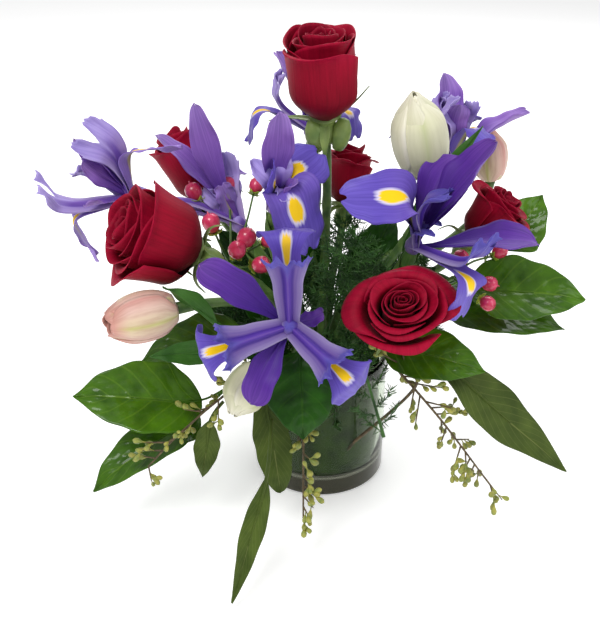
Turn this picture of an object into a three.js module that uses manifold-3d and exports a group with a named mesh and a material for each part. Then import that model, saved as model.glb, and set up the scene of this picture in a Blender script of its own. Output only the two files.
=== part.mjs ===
// A florist's arrangement in a glass cylinder vase: Dutch irises, red roses, tulips, hypericum
// berries, lemon leaf, seeded eucalyptus and asparagus fern, standing in water behind a leaf liner.
// Millimetres, +Z up. The origin is the centre of the vase's underside, and -Y is the front.
// Petals, blades and sprays are plain closed solids that hold the place of the finished ones.
import * as THREE from 'three';
import { mergeVertices } from 'three/addons/utils/BufferGeometryUtils.js';
import Module from 'manifold-3d';

const wasm = await Module();
wasm.setup();

// ---- Driving dimensions -------------------------------------------------------------------
const VASE_RADIUS = 50; // outside
const VASE_HEIGHT = 102;
const VASE_WALL = 4;
const VASE_FLOOR = 14; // the heavy foot of the glass
const RIM_ROUND = 1.2;
const CLEARANCE = 0.5; // between pieces that rest on each other
const LINER_THICKNESS = 0.8;
const LINER_BELOW_RIM = 11.5;
const LINER_TURN = 350; // degrees of the wall that the liner leaf covers
const WATER_BELOW_RIM = 22;
const NECK_ABOVE_RIM = 4; // where the stems fan out of the bundle
const FOOT_SPREAD = 0.82; // the bundle is this much narrower at its feet
const FOOT_TWIST = 24; // degrees that the bundle is turned between its feet and its neck
const RING_SHARES = [0, 14 / 38, 26 / 38, 1]; // rings of stems at the neck, as shares of the bundle's radius
const BUNDLE_GAP = 6.7; // between the outer ring's centres and the liner
const STEM_RADIUS = { rose: 3.1, iris: 3.4, tulip: 3.3, hypericum: 1.7, eucalyptus: 1.5, fern: 1.3 };
const LEAF_STEM_RADIUS = 1.4;
const BLADE_THICKNESS = 1.2;
const PETAL_THICKNESS = 1.6;
const BERRY_RADIUS = 6;

const VASE_INSIDE = VASE_RADIUS - VASE_WALL;
const LINER_INSIDE = VASE_INSIDE - CLEARANCE - LINER_THICKNESS;
const WATER_RADIUS = LINER_INSIDE - CLEARANCE;
const FOOT_HEIGHT = VASE_FLOOR + 2 * CLEARANCE;
const WATER_BOTTOM = VASE_FLOOR + CLEARANCE;
const WATER_TOP = VASE_HEIGHT - WATER_BELOW_RIM;
const NECK_HEIGHT = VASE_HEIGHT + NECK_ABOVE_RIM;
const BUNDLE_RADIUS = LINER_INSIDE - BUNDLE_GAP;

const LATHE_SIDES = 48;
const BLOOM_SIDES = 12;
const STEM_SIDES = 6;
const STEM_STEPS = 10;
// How far a stem runs on straight above the neck, and below what it carries.
const FLOWER_REACH = [45, 55];
const LEAF_REACH = [20, 28];
const FROND_REACH = [20, 24];
const BERRY_REACH = [20, 30];
const UP = new THREE.Vector3(0, 0, 1);

const GLASS = { color: '#dfe8e2', roughness: 0.05, metalness: 0 };
const WATER = { color: '#a9bfae', roughness: 0.05, metalness: 0 };
const LINER = { color: '#4c6a3c', roughness: 0.5, metalness: 0 };
const RED = { color: '#9c0f2b', roughness: 0.6, metalness: 0 };
const VIOLET = { color: '#5a3fae', roughness: 0.55, metalness: 0 };
const CREAM = { color: '#e9ead6', roughness: 0.5, metalness: 0 };
const BLUSH = { color: '#eccabd', roughness: 0.5, metalness: 0 };
const BERRY = { color: '#c8274a', roughness: 0.25, metalness: 0 };
const STEM_GREEN = { color: '#557a36', roughness: 0.6, metalness: 0 };
const LEAF_GREEN = { color: '#2f6a1c', roughness: 0.3, metalness: 0 };
const GREY_GREEN = { color: '#6d7f45', roughness: 0.7, metalness: 0 };
const FERN_GREEN = { color: '#3f7030', roughness: 0.7, metalness: 0 };

// ---- The arrangement ----------------------------------------------------------------------
// Places are [x, y, height above the vase's rim]. stem is [ring, angle in degrees] in the bundle at the neck.
// head is where a stem ends and aim is the way that it faces there.
const ROSES = [
  { name: 'rose_top', stem: [0, 0], head: [1, 0, 182], aim: [-0.08, -0.12, 1], width: 50, length: 64 },
  { name: 'rose_left', stem: [2, 213], head: [-84, -50, 105], aim: [-0.83, -0.24, 0.5], width: 62, length: 62 },
  { name: 'rose_right', stem: [2, 315], head: [50, -60, 57], aim: [0.02, -0.62, 0.78], width: 68, length: 46 },
  { name: 'rose_bud', stem: [2, 135], head: [-84, 52, 100], aim: [-0.5, 0.2, 0.84], width: 40, length: 60 },
  { name: 'rose_back_right', stem: [2, 15], head: [112, 30, 76], aim: [0.6, 0, 0.8], width: 46, length: 48 },
  { name: 'rose_back', stem: [2, 75], head: [19, 84, 82], aim: [0.1, 0.3, 0.95], width: 46, length: 50 },
];

const TULIPS = [
  { name: 'tulip_white', stem: [1, 0], head: [72, 8, 140], aim: [-0.2, -0.12, 1], width: 39, length: 63, ...CREAM },
  { name: 'tulip_pink', stem: [2, 232], head: [-98, -84, 82], aim: [-0.9, -0.42, -0.02], width: 33, length: 47, ...BLUSH },
  { name: 'tulip_back', stem: [2, 45], head: [136, 96, 100], aim: [-0.1, 0.1, 1], width: 28, length: 42, ...BLUSH },
  { name: 'tulip_low', stem: [3, 238], head: [-44, -71, 28], aim: [-0.5, -0.6, -0.62], width: 30, length: 38, ...CREAM },
];

// Each petal is [azimuth, length, rise from the level of the flower, bend over its length], in degrees and mm.
const IRISES = [
  {
    name: 'iris_front', stem: [2, 255], head: [-23, -93, 74], aim: [0, -0.87, 0.5],
    falls: [[92, 80, 34, 75], [198, 80, 22, 80], [318, 70, 24, 85]],
    standards: [[145, 70, 12, 10], [252, 56, 10, 14], [25, 34, -36, -20]],
  },
  {
    name: 'iris_far_left', stem: [2, 171], head: [-131, 8, 118], aim: [-0.65, -0.3, 0.72],
    falls: [[193, 84, 33, 100], [0, 76, 50, 85], [100, 60, 60, 90]],
    standards: [[60, 62, 82, 0], [230, 42, 50, 0], [320, 50, 86, 0]],
  },
  {
    name: 'iris_left', stem: [1, 154], head: [-58, 10, 94], aim: [-0.4, 0.05, 0.9],
    falls: [[200, 74, 40, 130], [80, 66, 62, 80], [300, 44, 84, 0]],
    standards: [[60, 84, 84, 4], [165, 84, 75, 8], [250, 52, 84, 0]],
  },
  {
    name: 'iris_middle', stem: [1, 206], head: [-34, -18, 122], aim: [0.1, -0.5, 0.86],
    falls: [[308, 74, 76, 120], [45, 56, 66, 60], [170, 44, 84, 0]],
    standards: [[110, 74, 76, 0], [345, 54, 60, 20], [235, 44, 76, 10]],
  },
  {
    name: 'iris_right', stem: [1, 309], head: [60, -34, 98], aim: [0.25, -0.1, 0.95],
    falls: [[200, 94, 92, 100], [318, 76, 6, 90], [160, 40, 66, 40]],
    standards: [[12, 90, 70, 0], [350, 84, 24, 6], [100, 30, 70, 0]],
  },
  {
    name: 'iris_back_right', stem: [1, 51], head: [97, 66, 122], aim: [0.12, 0.15, 1],
    falls: [[195, 70, 48, 95], [75, 66, 60, 90], [315, 52, 66, 90]],
    standards: [[135, 66, 72, 0], [8, 70, 44, 15], [255, 44, 84, 0]],
  },
  {
    name: 'iris_back', stem: [1, 103], head: [-7, 64, 144], aim: [0, 0.1, 1],
    falls: [[188, 72, 30, 110], [325, 60, 40, 120], [75, 56, 60, 90]],
    standards: [[165, 58, 58, 0], [10, 60, 56, 0], [270, 44, 84, 0]],
  },
];

// A leaf on its own stem: the stem runs from the neck through via, and the blade from base to tip.
// face is the way that the blade's upper side looks.
const LEAVES = [
  { name: 'lemon_leaf_left', stem: [3, 214], base: [-98, -68, -3], tip: [-176, -72, 6], width: 52, face: [-0.05, -0.6, 0.8] },
  { name: 'lemon_leaf_low_left', stem: [3, 196], base: [-96, -58, -26], tip: [-166, -90, -64], width: 40, face: [-0.35, -0.4, 0.85] },
  { name: 'lemon_leaf_shade', stem: [3, 176], base: [-66, -30, 30], tip: [-132, -38, 14], width: 44, face: [-0.1, -0.3, 0.95] },
  { name: 'lemon_leaf_right', stem: [3, 345], base: [112, -18, 60], tip: [190, -22, 56], width: 50, face: [0, -0.55, 0.83] },
  { name: 'lemon_leaf_low_right', stem: [3, 5], base: [104, -10, 38], tip: [178, -22, 32], width: 42, face: [0.1, -0.4, 0.9] },
  { name: 'lemon_leaf_high_right', stem: [3, 25], base: [140, 44, 60], tip: [172, 66, 100], width: 38, face: [-0.1, -0.85, 0.45] },
  { name: 'lemon_leaf_front', stem: [3, 270], base: [-16, -82, 44], tip: [-14, -106, -8], width: 50, face: [0, -0.9, 0.4] },
  { name: 'lemon_leaf_under_rose', stem: [3, 325], base: [52, -50, 32], tip: [112, -72, 26], width: 40, face: [0, -0.7, 0.7] },
  { name: 'lemon_leaf_back', stem: [3, 110], base: [-30, 78, 28], tip: [-46, 142, 10], width: 46, face: [0, 0.35, 0.94] },
];

// Leaves that grow from a neighbour's stem: the petiole starts at from, beside that stem.
const SIDE_LEAVES = [
  { name: 'eucalyptus_leaf_right', from: [60, -52, 22], base: [84, -60, 22], tip: [177, -82, -53], width: 38, face: [0.3, -0.6, 0.75], ...GREY_GREEN },
  { name: 'eucalyptus_leaf_front', from: [-38, -62, 14], base: [-40, -72, 4], tip: [-30, -94, -64], width: 26, face: [0, -0.97, 0.2], ...GREY_GREEN },
  { name: 'eucalyptus_leaf_trailing', from: [-36, -84, -6], base: [-39, -118, -30], tip: [-61, -170, -95], width: 16, face: [0.3, -0.7, 0.6], ...GREY_GREEN },
  { name: 'eucalyptus_leaf_left', from: [-70, -74, 2], base: [-78, -82, -6], tip: [-86, -92, -52], width: 18, face: [0, -0.95, 0.2], ...GREY_GREEN },
  { name: 'tulip_leaf_white', from: [58, -8, 82], base: [60, -12, 100], tip: [106, -6, 180], width: 16, face: [-0.6, -0.7, 0.3], ...STEM_GREEN },
  { name: 'tulip_leaf_pink_upper', from: [-62, -74, 58], base: [-70, -82, 68], tip: [-102, -102, 110], width: 16, face: [-0.4, -0.9, 0.2], ...STEM_GREEN },
  { name: 'tulip_leaf_pink_lower', from: [-60, -78, 48], base: [-70, -86, 50], tip: [-112, -107, 60], width: 18, face: [0, -0.8, 0.6], ...STEM_GREEN },
];

// Sprigs: a woody stem through the listed points, with side twigs that each end in a pod or berry.
const SPRIGS = [
  { name: 'eucalyptus_sprig_right', stem: [3, 300], through: [[48, -58, 24], [83, -72, -14], [122, -82, -66]], pods: 11 },
  { name: 'eucalyptus_sprig_left', stem: [3, 226], through: [[-62, -66, 8], [-98, -90, -12], [-122, -98, -36]], pods: 9 },
  { name: 'eucalyptus_sprig_front', stem: [3, 260], through: [[-14, -60, 14], [-14, -88, -22], [-14, -112, -70]], pods: 8 },
];

const BERRY_SPRIGS = [
  { name: 'hypericum_left', stem: [2, 192], crown: [-66, -18, 82], berries: [[-78, -16, 112], [-80, -30, 88], [-44, -28, 86], [-54, -24, 104]] },
  { name: 'hypericum_right', stem: [2, 351], crown: [94, -16, 70], berries: [[118, -26, 70], [97, -18, 87], [114, 4, 82]] },
];

const FRONDS = [
  { name: 'fern_middle', stem: [1, 257], base: [8, -30, 48], tip: [24, -50, 118], width: 44, face: [0, -0.95, 0.3] },
  { name: 'fern_low_right', stem: [3, 286], base: [30, -60, 16], tip: [44, -72, -30], width: 30, face: [0, -0.95, 0.3] },
];

// ---- Helpers ------------------------------------------------------------------------------
const vec = (p) => new THREE.Vector3(...p);
const place = ([x, y, aboveRim]) => new THREE.Vector3(x, y, VASE_HEIGHT + aboveRim);
const radians = THREE.MathUtils.degToRad;

/** A three.js geometry as a manifold solid, with its shared corners merged. */
function solidOf(geometry) {
  const bare = new THREE.BufferGeometry().setAttribute('position', geometry.getAttribute('position').clone());
  if (geometry.index) bare.setIndex(geometry.index.clone());
  const merged = mergeVertices(bare, 1e-3);
  return new wasm.Manifold(new wasm.Mesh({
    numProp: 3,
    vertProperties: merged.attributes.position.array,
    triVerts: new Uint32Array(merged.index.array),
  }));
}

/** A manifold solid as a three.js geometry. */
function geometryOf(solid) {
  const mesh = solid.getMesh();
  const positions = new Float32Array(mesh.numVert * 3);
  for (let i = 0; i < mesh.numVert; i++) {
    positions.set(mesh.vertProperties.subarray(i * mesh.numProp, i * mesh.numProp + 3), i * 3);
  }
  return new THREE.BufferGeometry()
    .setAttribute('position', new THREE.BufferAttribute(positions, 3))
    .setIndex(new THREE.BufferAttribute(mesh.triVerts, 1));
}

/** Where a stem of that ring and angle stands at a height inside the vase: the bundle narrows and turns. */
function stemPlace([ring, angle], height) {
  const up = (height - FOOT_HEIGHT) / (NECK_HEIGHT - FOOT_HEIGHT);
  const neck = new THREE.Vector2(BUNDLE_RADIUS * RING_SHARES[ring], 0).rotateAround(new THREE.Vector2(), radians(angle));
  const foot = neck.clone().multiplyScalar(FOOT_SPREAD).rotateAround(new THREE.Vector2(), radians(-FOOT_TWIST));
  const at = foot.lerp(neck, up);
  return new THREE.Vector3(at.x, at.y, height);
}

/** The path of a stem: straight from its foot to the neck, then a smooth curve to its head. */
function stemPath(stem, head, aim, reach = FLOWER_REACH) {
  const foot = stemPlace(stem, FOOT_HEIGHT);
  const neck = stemPlace(stem, NECK_HEIGHT);
  const leave = neck.clone().sub(foot).normalize().multiplyScalar(reach[0]).add(neck);
  const arrive = head.clone().addScaledVector(aim.clone().normalize(), -reach[1]);
  const path = new THREE.CurvePath();
  path.add(new THREE.LineCurve3(foot, neck));
  path.add(new THREE.CubicBezierCurve3(neck, leave, arrive, head));
  return path;
}

/** A round stem along a path. */
function tube(path, radius, steps = STEM_STEPS, sides = STEM_SIDES) {
  const corners = Array.from({ length: sides }, (_, i) => {
    const angle = (i / sides) * 2 * Math.PI;
    return new THREE.Vector2(radius * Math.cos(angle), radius * Math.sin(angle));
  });
  return new THREE.ExtrudeGeometry(new THREE.Shape(corners), { steps, extrudePath: path, bevelEnabled: false });
}

/**
 * A thin blade: a box bent so that its length runs through each at of frame(t) and its upper side looks along face.
 * half(t) gives half its width and thick(t) half its thickness, and cup lifts its edges.
 */
function blade(steps, frame, half, thick, cup = 0.12) {
  const geometry = new THREE.BoxGeometry(2, 1, 2, 2, steps, 1);
  const corner = geometry.getAttribute('position');
  for (let i = 0; i < corner.count; i++) {
    const across = corner.getX(i);
    const along = corner.getY(i) + 0.5;
    const { at, tangent, face } = frame(along);
    const up = face.clone().addScaledVector(tangent, -face.dot(tangent)).normalize();
    const side = tangent.clone().cross(up);
    const lift = cup * across * across * half(along) + corner.getZ(i) * thick(along);
    at.addScaledVector(side, across * half(along)).addScaledVector(up, lift);
    corner.setXYZ(i, at.x, at.y, at.z);
  }
  return geometry;
}

/** A leaf blade's outline: half its width at t, from a narrow base to a pointed tip, widest at peak. */
function leafHalfWidth(t, width, peak = 0.42) {
  const reach = t < peak ? t / peak : (1 - t) / (1 - peak);
  return Math.max(0.8, (width / 2) * Math.sin((Math.PI / 2) * Math.min(1, reach)) ** 0.8);
}

/** Turns a mesh made along +Z so that it stands at a head and points along its aim. */
function standing(mesh, head, aim) {
  mesh.position.copy(place(head));
  mesh.quaternion.setFromUnitVectors(UP, vec(aim).normalize());
  return mesh;
}

/** A solid of revolution about Z from [radius, height] pairs. */
function turned(profile, sides) {
  const points = profile.map(([radius, height]) => new THREE.Vector2(radius, height));
  return new THREE.LatheGeometry(points, sides).rotateX(Math.PI / 2);
}

const parts = new THREE.Group();

/** Adds a named mesh in its own material. */
function add(name, geometry, { color, roughness, metalness }, extra = {}) {
  const mesh = new THREE.Mesh(geometry, new THREE.MeshStandardMaterial({ color, roughness, metalness, ...extra }));
  mesh.name = name;
  parts.add(mesh);
  return mesh;
}

// ---- The vase -----------------------------------------------------------------------------
function makeVase() {
  const rim = VASE_HEIGHT - RIM_ROUND;
  add('vase', turned([
    [0, 0], [VASE_RADIUS - RIM_ROUND, 0], [VASE_RADIUS, RIM_ROUND], [VASE_RADIUS, rim],
    [VASE_RADIUS - RIM_ROUND, VASE_HEIGHT], [VASE_INSIDE + RIM_ROUND, VASE_HEIGHT], [VASE_INSIDE, rim],
    [VASE_INSIDE, VASE_FLOOR], [0, VASE_FLOOR],
  ], LATHE_SIDES), GLASS, { transparent: true, opacity: 0.3 });
}

/** The broad leaf that lines the glass: an open band just inside the wall. */
function makeLiner() {
  const turn = radians(LINER_TURN);
  const outside = LINER_INSIDE + LINER_THICKNESS;
  const band = new THREE.Shape();
  band.absarc(0, 0, outside, 0, turn, false);
  band.absarc(0, 0, LINER_INSIDE, turn, 0, true);
  const geometry = new THREE.ExtrudeGeometry(band, { depth: VASE_HEIGHT - LINER_BELOW_RIM - WATER_BOTTOM, bevelEnabled: false, curveSegments: 24 });
  add('liner_leaf', geometry, LINER).position.z = WATER_BOTTOM;
}

/** Water up to its level, with room left for every stem that stands in it. */
function makeWater(stems) {
  let water = solidOf(turned([
    [0, WATER_BOTTOM], [WATER_RADIUS, WATER_BOTTOM], [WATER_RADIUS, WATER_TOP], [0, WATER_TOP],
  ], LATHE_SIDES / 2));
  for (const { stem, radius } of stems) {
    const bore = new THREE.LineCurve3(stemPlace(stem, FOOT_HEIGHT - CLEARANCE / 2), stemPlace(stem, WATER_TOP + VASE_WALL));
    water = water.subtract(solidOf(tube(bore, radius + CLEARANCE, 1)));
  }
  add('water', geometryOf(water), WATER, { transparent: true, opacity: 0.3 });
}

// ---- The flowers --------------------------------------------------------------------------
const standingStems = [];

/** A flower's stem, which also takes its place in the water. */
function makeStem(name, kind, { stem, head, aim }) {
  standingStems.push({ stem, radius: STEM_RADIUS[kind] });
  add(name, tube(stemPath(stem, place(head), vec(aim)), STEM_RADIUS[kind]), STEM_GREEN);
}

/** A rose: a green hip under a goblet of petals with a sunken heart. */
function makeRose(rose) {
  const { name, head, aim, width, length } = rose;
  const r = width / 2;
  makeStem(`${name}_stem`, 'rose', rose);
  const geometry = turned([
    [0, CLEARANCE], [4, CLEARANCE], [8, 5], [7, 11], [0.62 * r, 15], [0.95 * r, 0.42 * length], [r, 0.66 * length],
    [0.86 * r, 0.94 * length], [0.7 * r, length], [0.5 * r, length - 5], [0, length - 7],
  ], BLOOM_SIDES);
  standing(add(`${name}_bloom`, geometry, RED), head, aim);
}

/** A tulip: an egg of six tepals, closed at the top. */
function makeTulip(tulip) {
  const { name, head, aim, width, length } = tulip;
  const r = width / 2;
  makeStem(`${name}_stem`, 'tulip', tulip);
  const geometry = turned([
    [0, CLEARANCE], [0.4 * r, CLEARANCE], [0.82 * r, 0.14 * length], [r, 0.36 * length], [0.93 * r, 0.62 * length],
    [0.66 * r, 0.86 * length], [0.3 * r, length], [0, length],
  ], BLOOM_SIDES);
  standing(add(`${name}_bloom`, geometry, tulip), head, aim);
}

const PETAL_STEPS = 5;
const PETAL_FINE_STEPS = 30;
const FALL_WIDTHS = [4, 8, 15];
const STANDARD_WIDTHS = [3, 7, 11];
const STYLE_WIDTHS = [3, 6, 7];
const STYLE_SHARE = 0.9; // of the length of the fall below it
const STYLE_LIFT = 8; // degrees above that fall
const STYLE_BEND = -25;
const HUB_RADIUS = 6;
const HUB_HEIGHT = 9;
const BEND_FROM = 0.38; // a petal bends between these shares of its length
const BEND_TO = 0.82;

/** A point and direction on an iris petal, out from the flower's axis, after a share t of its length. */
function petalPoint([, length, rise, bend], t) {
  let out = 0;
  let up = HUB_HEIGHT / 2;
  let angle = radians(rise);
  for (let i = 0; i < PETAL_FINE_STEPS * t; i++) {
    const share = (i + 0.5) / PETAL_FINE_STEPS;
    angle = radians(rise - bend * THREE.MathUtils.smoothstep(share, BEND_FROM, BEND_TO));
    out += (length / PETAL_FINE_STEPS) * Math.cos(angle);
    up += (length / PETAL_FINE_STEPS) * Math.sin(angle);
  }
  return { out, up, angle };
}

/** One petal as a solid. The half widths are at its base, its middle and its blade. */
function irisPetal(shape, [haft, shoulder, lobe]) {
  const azimuth = radians(shape[0]);
  const half = (t) => (t < 0.5
    ? THREE.MathUtils.lerp(haft, shoulder, t / 0.5)
    : lobe * Math.sin(Math.PI * Math.min(0.93, 0.32 + 0.62 * (t - 0.5) / 0.5)) ** 0.7);
  const frame = (t) => {
    const { out, up, angle } = petalPoint(shape, t);
    return {
      at: new THREE.Vector3(out * Math.cos(azimuth), out * Math.sin(azimuth), up),
      tangent: new THREE.Vector3(Math.cos(angle) * Math.cos(azimuth), Math.cos(angle) * Math.sin(azimuth), Math.sin(angle)),
      face: new THREE.Vector3(-Math.sin(angle) * Math.cos(azimuth), -Math.sin(angle) * Math.sin(azimuth), Math.cos(angle)),
    };
  };
  return solidOf(blade(PETAL_STEPS, frame, half, () => PETAL_THICKNESS / 2, 0.1));
}

/** An iris: three falls, each under its own style arm, and three standards, round a short hub. */
function makeIris(iris) {
  const { name, head, aim, falls, standards } = iris;
  makeStem(`${name}_stem`, 'iris', iris);
  let bloom = solidOf(turned([
    [0, CLEARANCE], [4, CLEARANCE], [HUB_RADIUS, HUB_HEIGHT / 2], [4, HUB_HEIGHT], [0, HUB_HEIGHT],
  ], STEM_SIDES));
  for (const fall of falls) bloom = bloom.add(irisPetal(fall, FALL_WIDTHS));
  for (const standard of standards) bloom = bloom.add(irisPetal(standard, STANDARD_WIDTHS));
  for (const [azimuth, length, rise] of falls) {
    bloom = bloom.add(irisPetal([azimuth, STYLE_SHARE * length, rise + STYLE_LIFT, STYLE_BEND], STYLE_WIDTHS));
  }
  standing(add(`${name}_bloom`, geometryOf(bloom), VIOLET), head, aim);
}

// ---- The greenery -------------------------------------------------------------------------
const LEAF_STEPS = 14;
const LEAF_BOW = 0.08; // a leaf arches by this share of its length
const FROND_PEAK = 0.3; // a frond is widest this far along
const BLADE_STEPS = 8;

/** A blade's frame along a curve, facing one way all along. */
function along(curve, face) {
  return (t) => ({ at: curve.getPointAt(t), tangent: curve.getTangentAt(t), face: vec(face) });
}

/** A leaf with the woody stem that it stands on, from the water to its tip. */
function makeLeaf({ name, stem, base, tip, width, face }) {
  const [start, end] = [place(base), place(tip)];
  const stalk = stemPath(stem, start, end.clone().sub(start), LEAF_REACH);
  const bow = start.clone().lerp(end, 0.5).addScaledVector(vec(face).normalize(), LEAF_BOW * start.distanceTo(end));
  const path = new THREE.CurvePath();
  stalk.curves.forEach((curve) => path.add(curve));
  path.add(new THREE.QuadraticBezierCurve3(start, bow, end));
  const lengths = path.getCurveLengths();
  const from = lengths[1] / lengths[2];
  const half = (t) => (t <= from
    ? LEAF_STEM_RADIUS
    : Math.max(LEAF_STEM_RADIUS * (1 - t) + 0.4, leafHalfWidth((t - from) / (1 - from), width)));
  const thick = (t) => (t <= from ? LEAF_STEM_RADIUS : BLADE_THICKNESS / 2);
  standingStems.push({ stem, radius: LEAF_STEM_RADIUS * Math.SQRT2 });
  add(name, blade(LEAF_STEPS, along(path, face), half, thick, 0), LEAF_GREEN);
}

/** A leaf that grows from a neighbouring stem. */
function makeSideLeaf(leaf) {
  const { name, from, base, tip, width, face } = leaf;
  const [origin, start, end] = [place(from), place(base), place(tip)];
  const curve = new THREE.CatmullRomCurve3([origin, start, start.clone().lerp(end, 0.5), end], false, 'centripetal');
  const petiole = origin.distanceTo(start) / curve.getLength();
  const half = (t) => (t <= petiole ? 1 : leafHalfWidth((t - petiole) / (1 - petiole), width));
  add(name, blade(BLADE_STEPS, along(curve, face), half, () => BLADE_THICKNESS / 2, 0), leaf);
}

/** A frond of fern as one thin triangular spray on its stem. */
function makeFrond({ name, stem, base, tip, width, face }) {
  const [start, end] = [place(base), place(tip)];
  const stalk = stemPath(stem, start, end.clone().sub(start), FROND_REACH);
  const path = new THREE.CurvePath();
  stalk.curves.forEach((curve) => path.add(curve));
  path.add(new THREE.LineCurve3(start, end));
  const lengths = path.getCurveLengths();
  const from = lengths[1] / lengths[2];
  const half = (t) => (t <= from ? STEM_RADIUS.fern : leafHalfWidth((t - from) / (1 - from), width, FROND_PEAK));
  standingStems.push({ stem, radius: STEM_RADIUS.fern * Math.SQRT2 });
  add(name, blade(LEAF_STEPS, along(path, face), half, () => STEM_RADIUS.fern, 0), FERN_GREEN);
}

const GOLDEN_ANGLE = 137.5;
const TWIG_RADIUS = 0.8;
const POD_RADIUS = 2;
const TWIG_LENGTH = 12;

/** A straight taper from one point to another, as a solid. */
function taper(from, to, start, end) {
  const length = from.distanceTo(to);
  const geometry = new THREE.CylinderGeometry(end, start, length, 5).translate(0, length / 2, 0);
  geometry.applyQuaternion(new THREE.Quaternion().setFromUnitVectors(new THREE.Vector3(0, 1, 0), to.clone().sub(from).normalize()));
  return solidOf(geometry.translate(from.x, from.y, from.z));
}

/** The path of a sprig: straight to the neck, then a curve through its points. */
function sprigPath(stem, through) {
  const foot = stemPlace(stem, FOOT_HEIGHT);
  const neck = stemPlace(stem, NECK_HEIGHT);
  const path = new THREE.CurvePath();
  path.add(new THREE.LineCurve3(foot, neck));
  path.add(new THREE.CatmullRomCurve3([neck, ...through.map(place)], false, 'centripetal'));
  return path;
}

/** A sprig of seeded eucalyptus: pods on twigs round the outer half of its stem. */
function makeSprig({ name, stem, through, pods }) {
  const path = sprigPath(stem, through);
  standingStems.push({ stem, radius: STEM_RADIUS.eucalyptus });
  let sprig = solidOf(tube(path, STEM_RADIUS.eucalyptus));
  for (let i = 0; i < pods; i++) {
    const t = THREE.MathUtils.lerp(0.62, 0.985, i / (pods - 1));
    const from = path.getPointAt(t);
    const tangent = path.getTangentAt(t);
    const side = new THREE.Vector3(0, 1, 0).cross(tangent).normalize().applyAxisAngle(tangent, radians(GOLDEN_ANGLE * i));
    const to = from.clone().addScaledVector(side.addScaledVector(tangent, 0.8).normalize(), TWIG_LENGTH);
    sprig = sprig.add(taper(from, to, TWIG_RADIUS, POD_RADIUS));
  }
  add(name, geometryOf(sprig), GREY_GREEN);
}

/** A sprig of hypericum: berries on short stalks round the top of its stem. */
function makeBerrySprig({ name, stem, crown, berries }) {
  const top = place(crown);
  const path = stemPath(stem, top, top.clone().sub(stemPlace(stem, NECK_HEIGHT)), BERRY_REACH);
  standingStems.push({ stem, radius: STEM_RADIUS.hypericum });
  let sprig = solidOf(tube(path, STEM_RADIUS.hypericum));
  const fork = path.getPointAt(0.985);
  for (const berry of berries) {
    const centre = place(berry);
    const ball = new THREE.IcosahedronGeometry(BERRY_RADIUS, 1).translate(centre.x, centre.y, centre.z);
    sprig = sprig.add(taper(fork, centre, TWIG_RADIUS, TWIG_RADIUS)).add(solidOf(ball));
  }
  add(name, geometryOf(sprig), BERRY);
}

makeVase();
makeLiner();
ROSES.forEach(makeRose);
TULIPS.forEach(makeTulip);
IRISES.forEach(makeIris);
BERRY_SPRIGS.forEach(makeBerrySprig);
SPRIGS.forEach(makeSprig);
LEAVES.forEach(makeLeaf);
SIDE_LEAVES.forEach(makeSideLeaf);
FRONDS.forEach(makeFrond);
makeWater(standingStems);

export default parts;
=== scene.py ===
"""Irises in a vase: a florist's mixed arrangement in a clear glass cylinder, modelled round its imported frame.

Every size is in millimetres until a mesh is made. The frame's nodes give each stem's route, each flower's
place and each blade's line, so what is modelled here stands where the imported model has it.
"""

from __future__ import annotations

import logging
import math
from dataclasses import dataclass
from enum import Enum
from typing import Any, Callable, Sequence

import bpy
import numpy as np
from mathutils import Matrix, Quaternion, Vector

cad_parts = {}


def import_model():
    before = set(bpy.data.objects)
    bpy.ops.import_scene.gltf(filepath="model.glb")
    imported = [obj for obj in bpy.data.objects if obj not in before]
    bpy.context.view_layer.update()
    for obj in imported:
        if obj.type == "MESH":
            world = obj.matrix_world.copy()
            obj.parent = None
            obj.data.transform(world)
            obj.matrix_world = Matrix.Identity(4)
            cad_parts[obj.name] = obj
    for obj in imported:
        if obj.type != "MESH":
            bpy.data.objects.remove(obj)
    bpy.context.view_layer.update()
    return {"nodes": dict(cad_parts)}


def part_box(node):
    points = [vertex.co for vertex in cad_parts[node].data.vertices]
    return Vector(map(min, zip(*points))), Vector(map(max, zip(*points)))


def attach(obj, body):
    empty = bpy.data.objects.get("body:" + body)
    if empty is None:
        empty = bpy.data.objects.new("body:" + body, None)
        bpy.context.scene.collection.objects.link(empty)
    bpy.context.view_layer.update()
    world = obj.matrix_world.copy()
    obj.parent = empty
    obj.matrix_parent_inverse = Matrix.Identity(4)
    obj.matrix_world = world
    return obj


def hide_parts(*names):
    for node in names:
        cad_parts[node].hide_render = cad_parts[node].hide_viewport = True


LOG = logging.getLogger("irises_in_a_vase")
MM = 0.001
Array = np.ndarray
Piece = bpy.types.Object
Skin = bpy.types.Material
Tree = bpy.types.NodeTree
Nodes = dict[str, Piece]
Surface = Callable[[Array, Array], Array]
Colour = tuple[float, float, float, float]
Point = tuple[float, float, float]
Link = Any


# ---- Small sums -----------------------------------------------------------------------------
def colour(text: str) -> Colour:
    """Turns an sRGB hex value into a linear colour.

    Args:
        text: The colour as "#rrggbb".

    Returns:
        Linear red, green, blue and an alpha of one.
    """
    parts = [int(text[i : i + 2], 16) / 255 for i in (1, 3, 5)]
    red, green, blue = (p / 12.92 if p <= 0.04045 else ((p + 0.055) / 1.055) ** 2.4 for p in parts)
    return (red, green, blue, 1.0)


def ease(x: Array, low: float, high: float) -> Array:
    """Rises smoothly from 0 at low to 1 at high."""
    t = np.clip((x - low) / (high - low), 0, 1)
    return t * t * (3 - 2 * t)


def bump(x: Array, centre: float, width: float) -> Array:
    """A smooth bump of height 1 round a centre."""
    return np.exp(-(((x - centre) / width) ** 2))


def stack(x: Array, y: Array, z: Array) -> Array:
    """Joins three coordinate arrays into rows of points."""
    return np.stack([x, y, z], axis=1)


def unit(vector: Array) -> Array:
    """A vector at length 1."""
    return vector / np.linalg.norm(vector)


def units(vectors: Array) -> Array:
    """Rows of vectors, each at length 1."""
    return vectors / np.linalg.norm(vectors, axis=1)[:, None]


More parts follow.
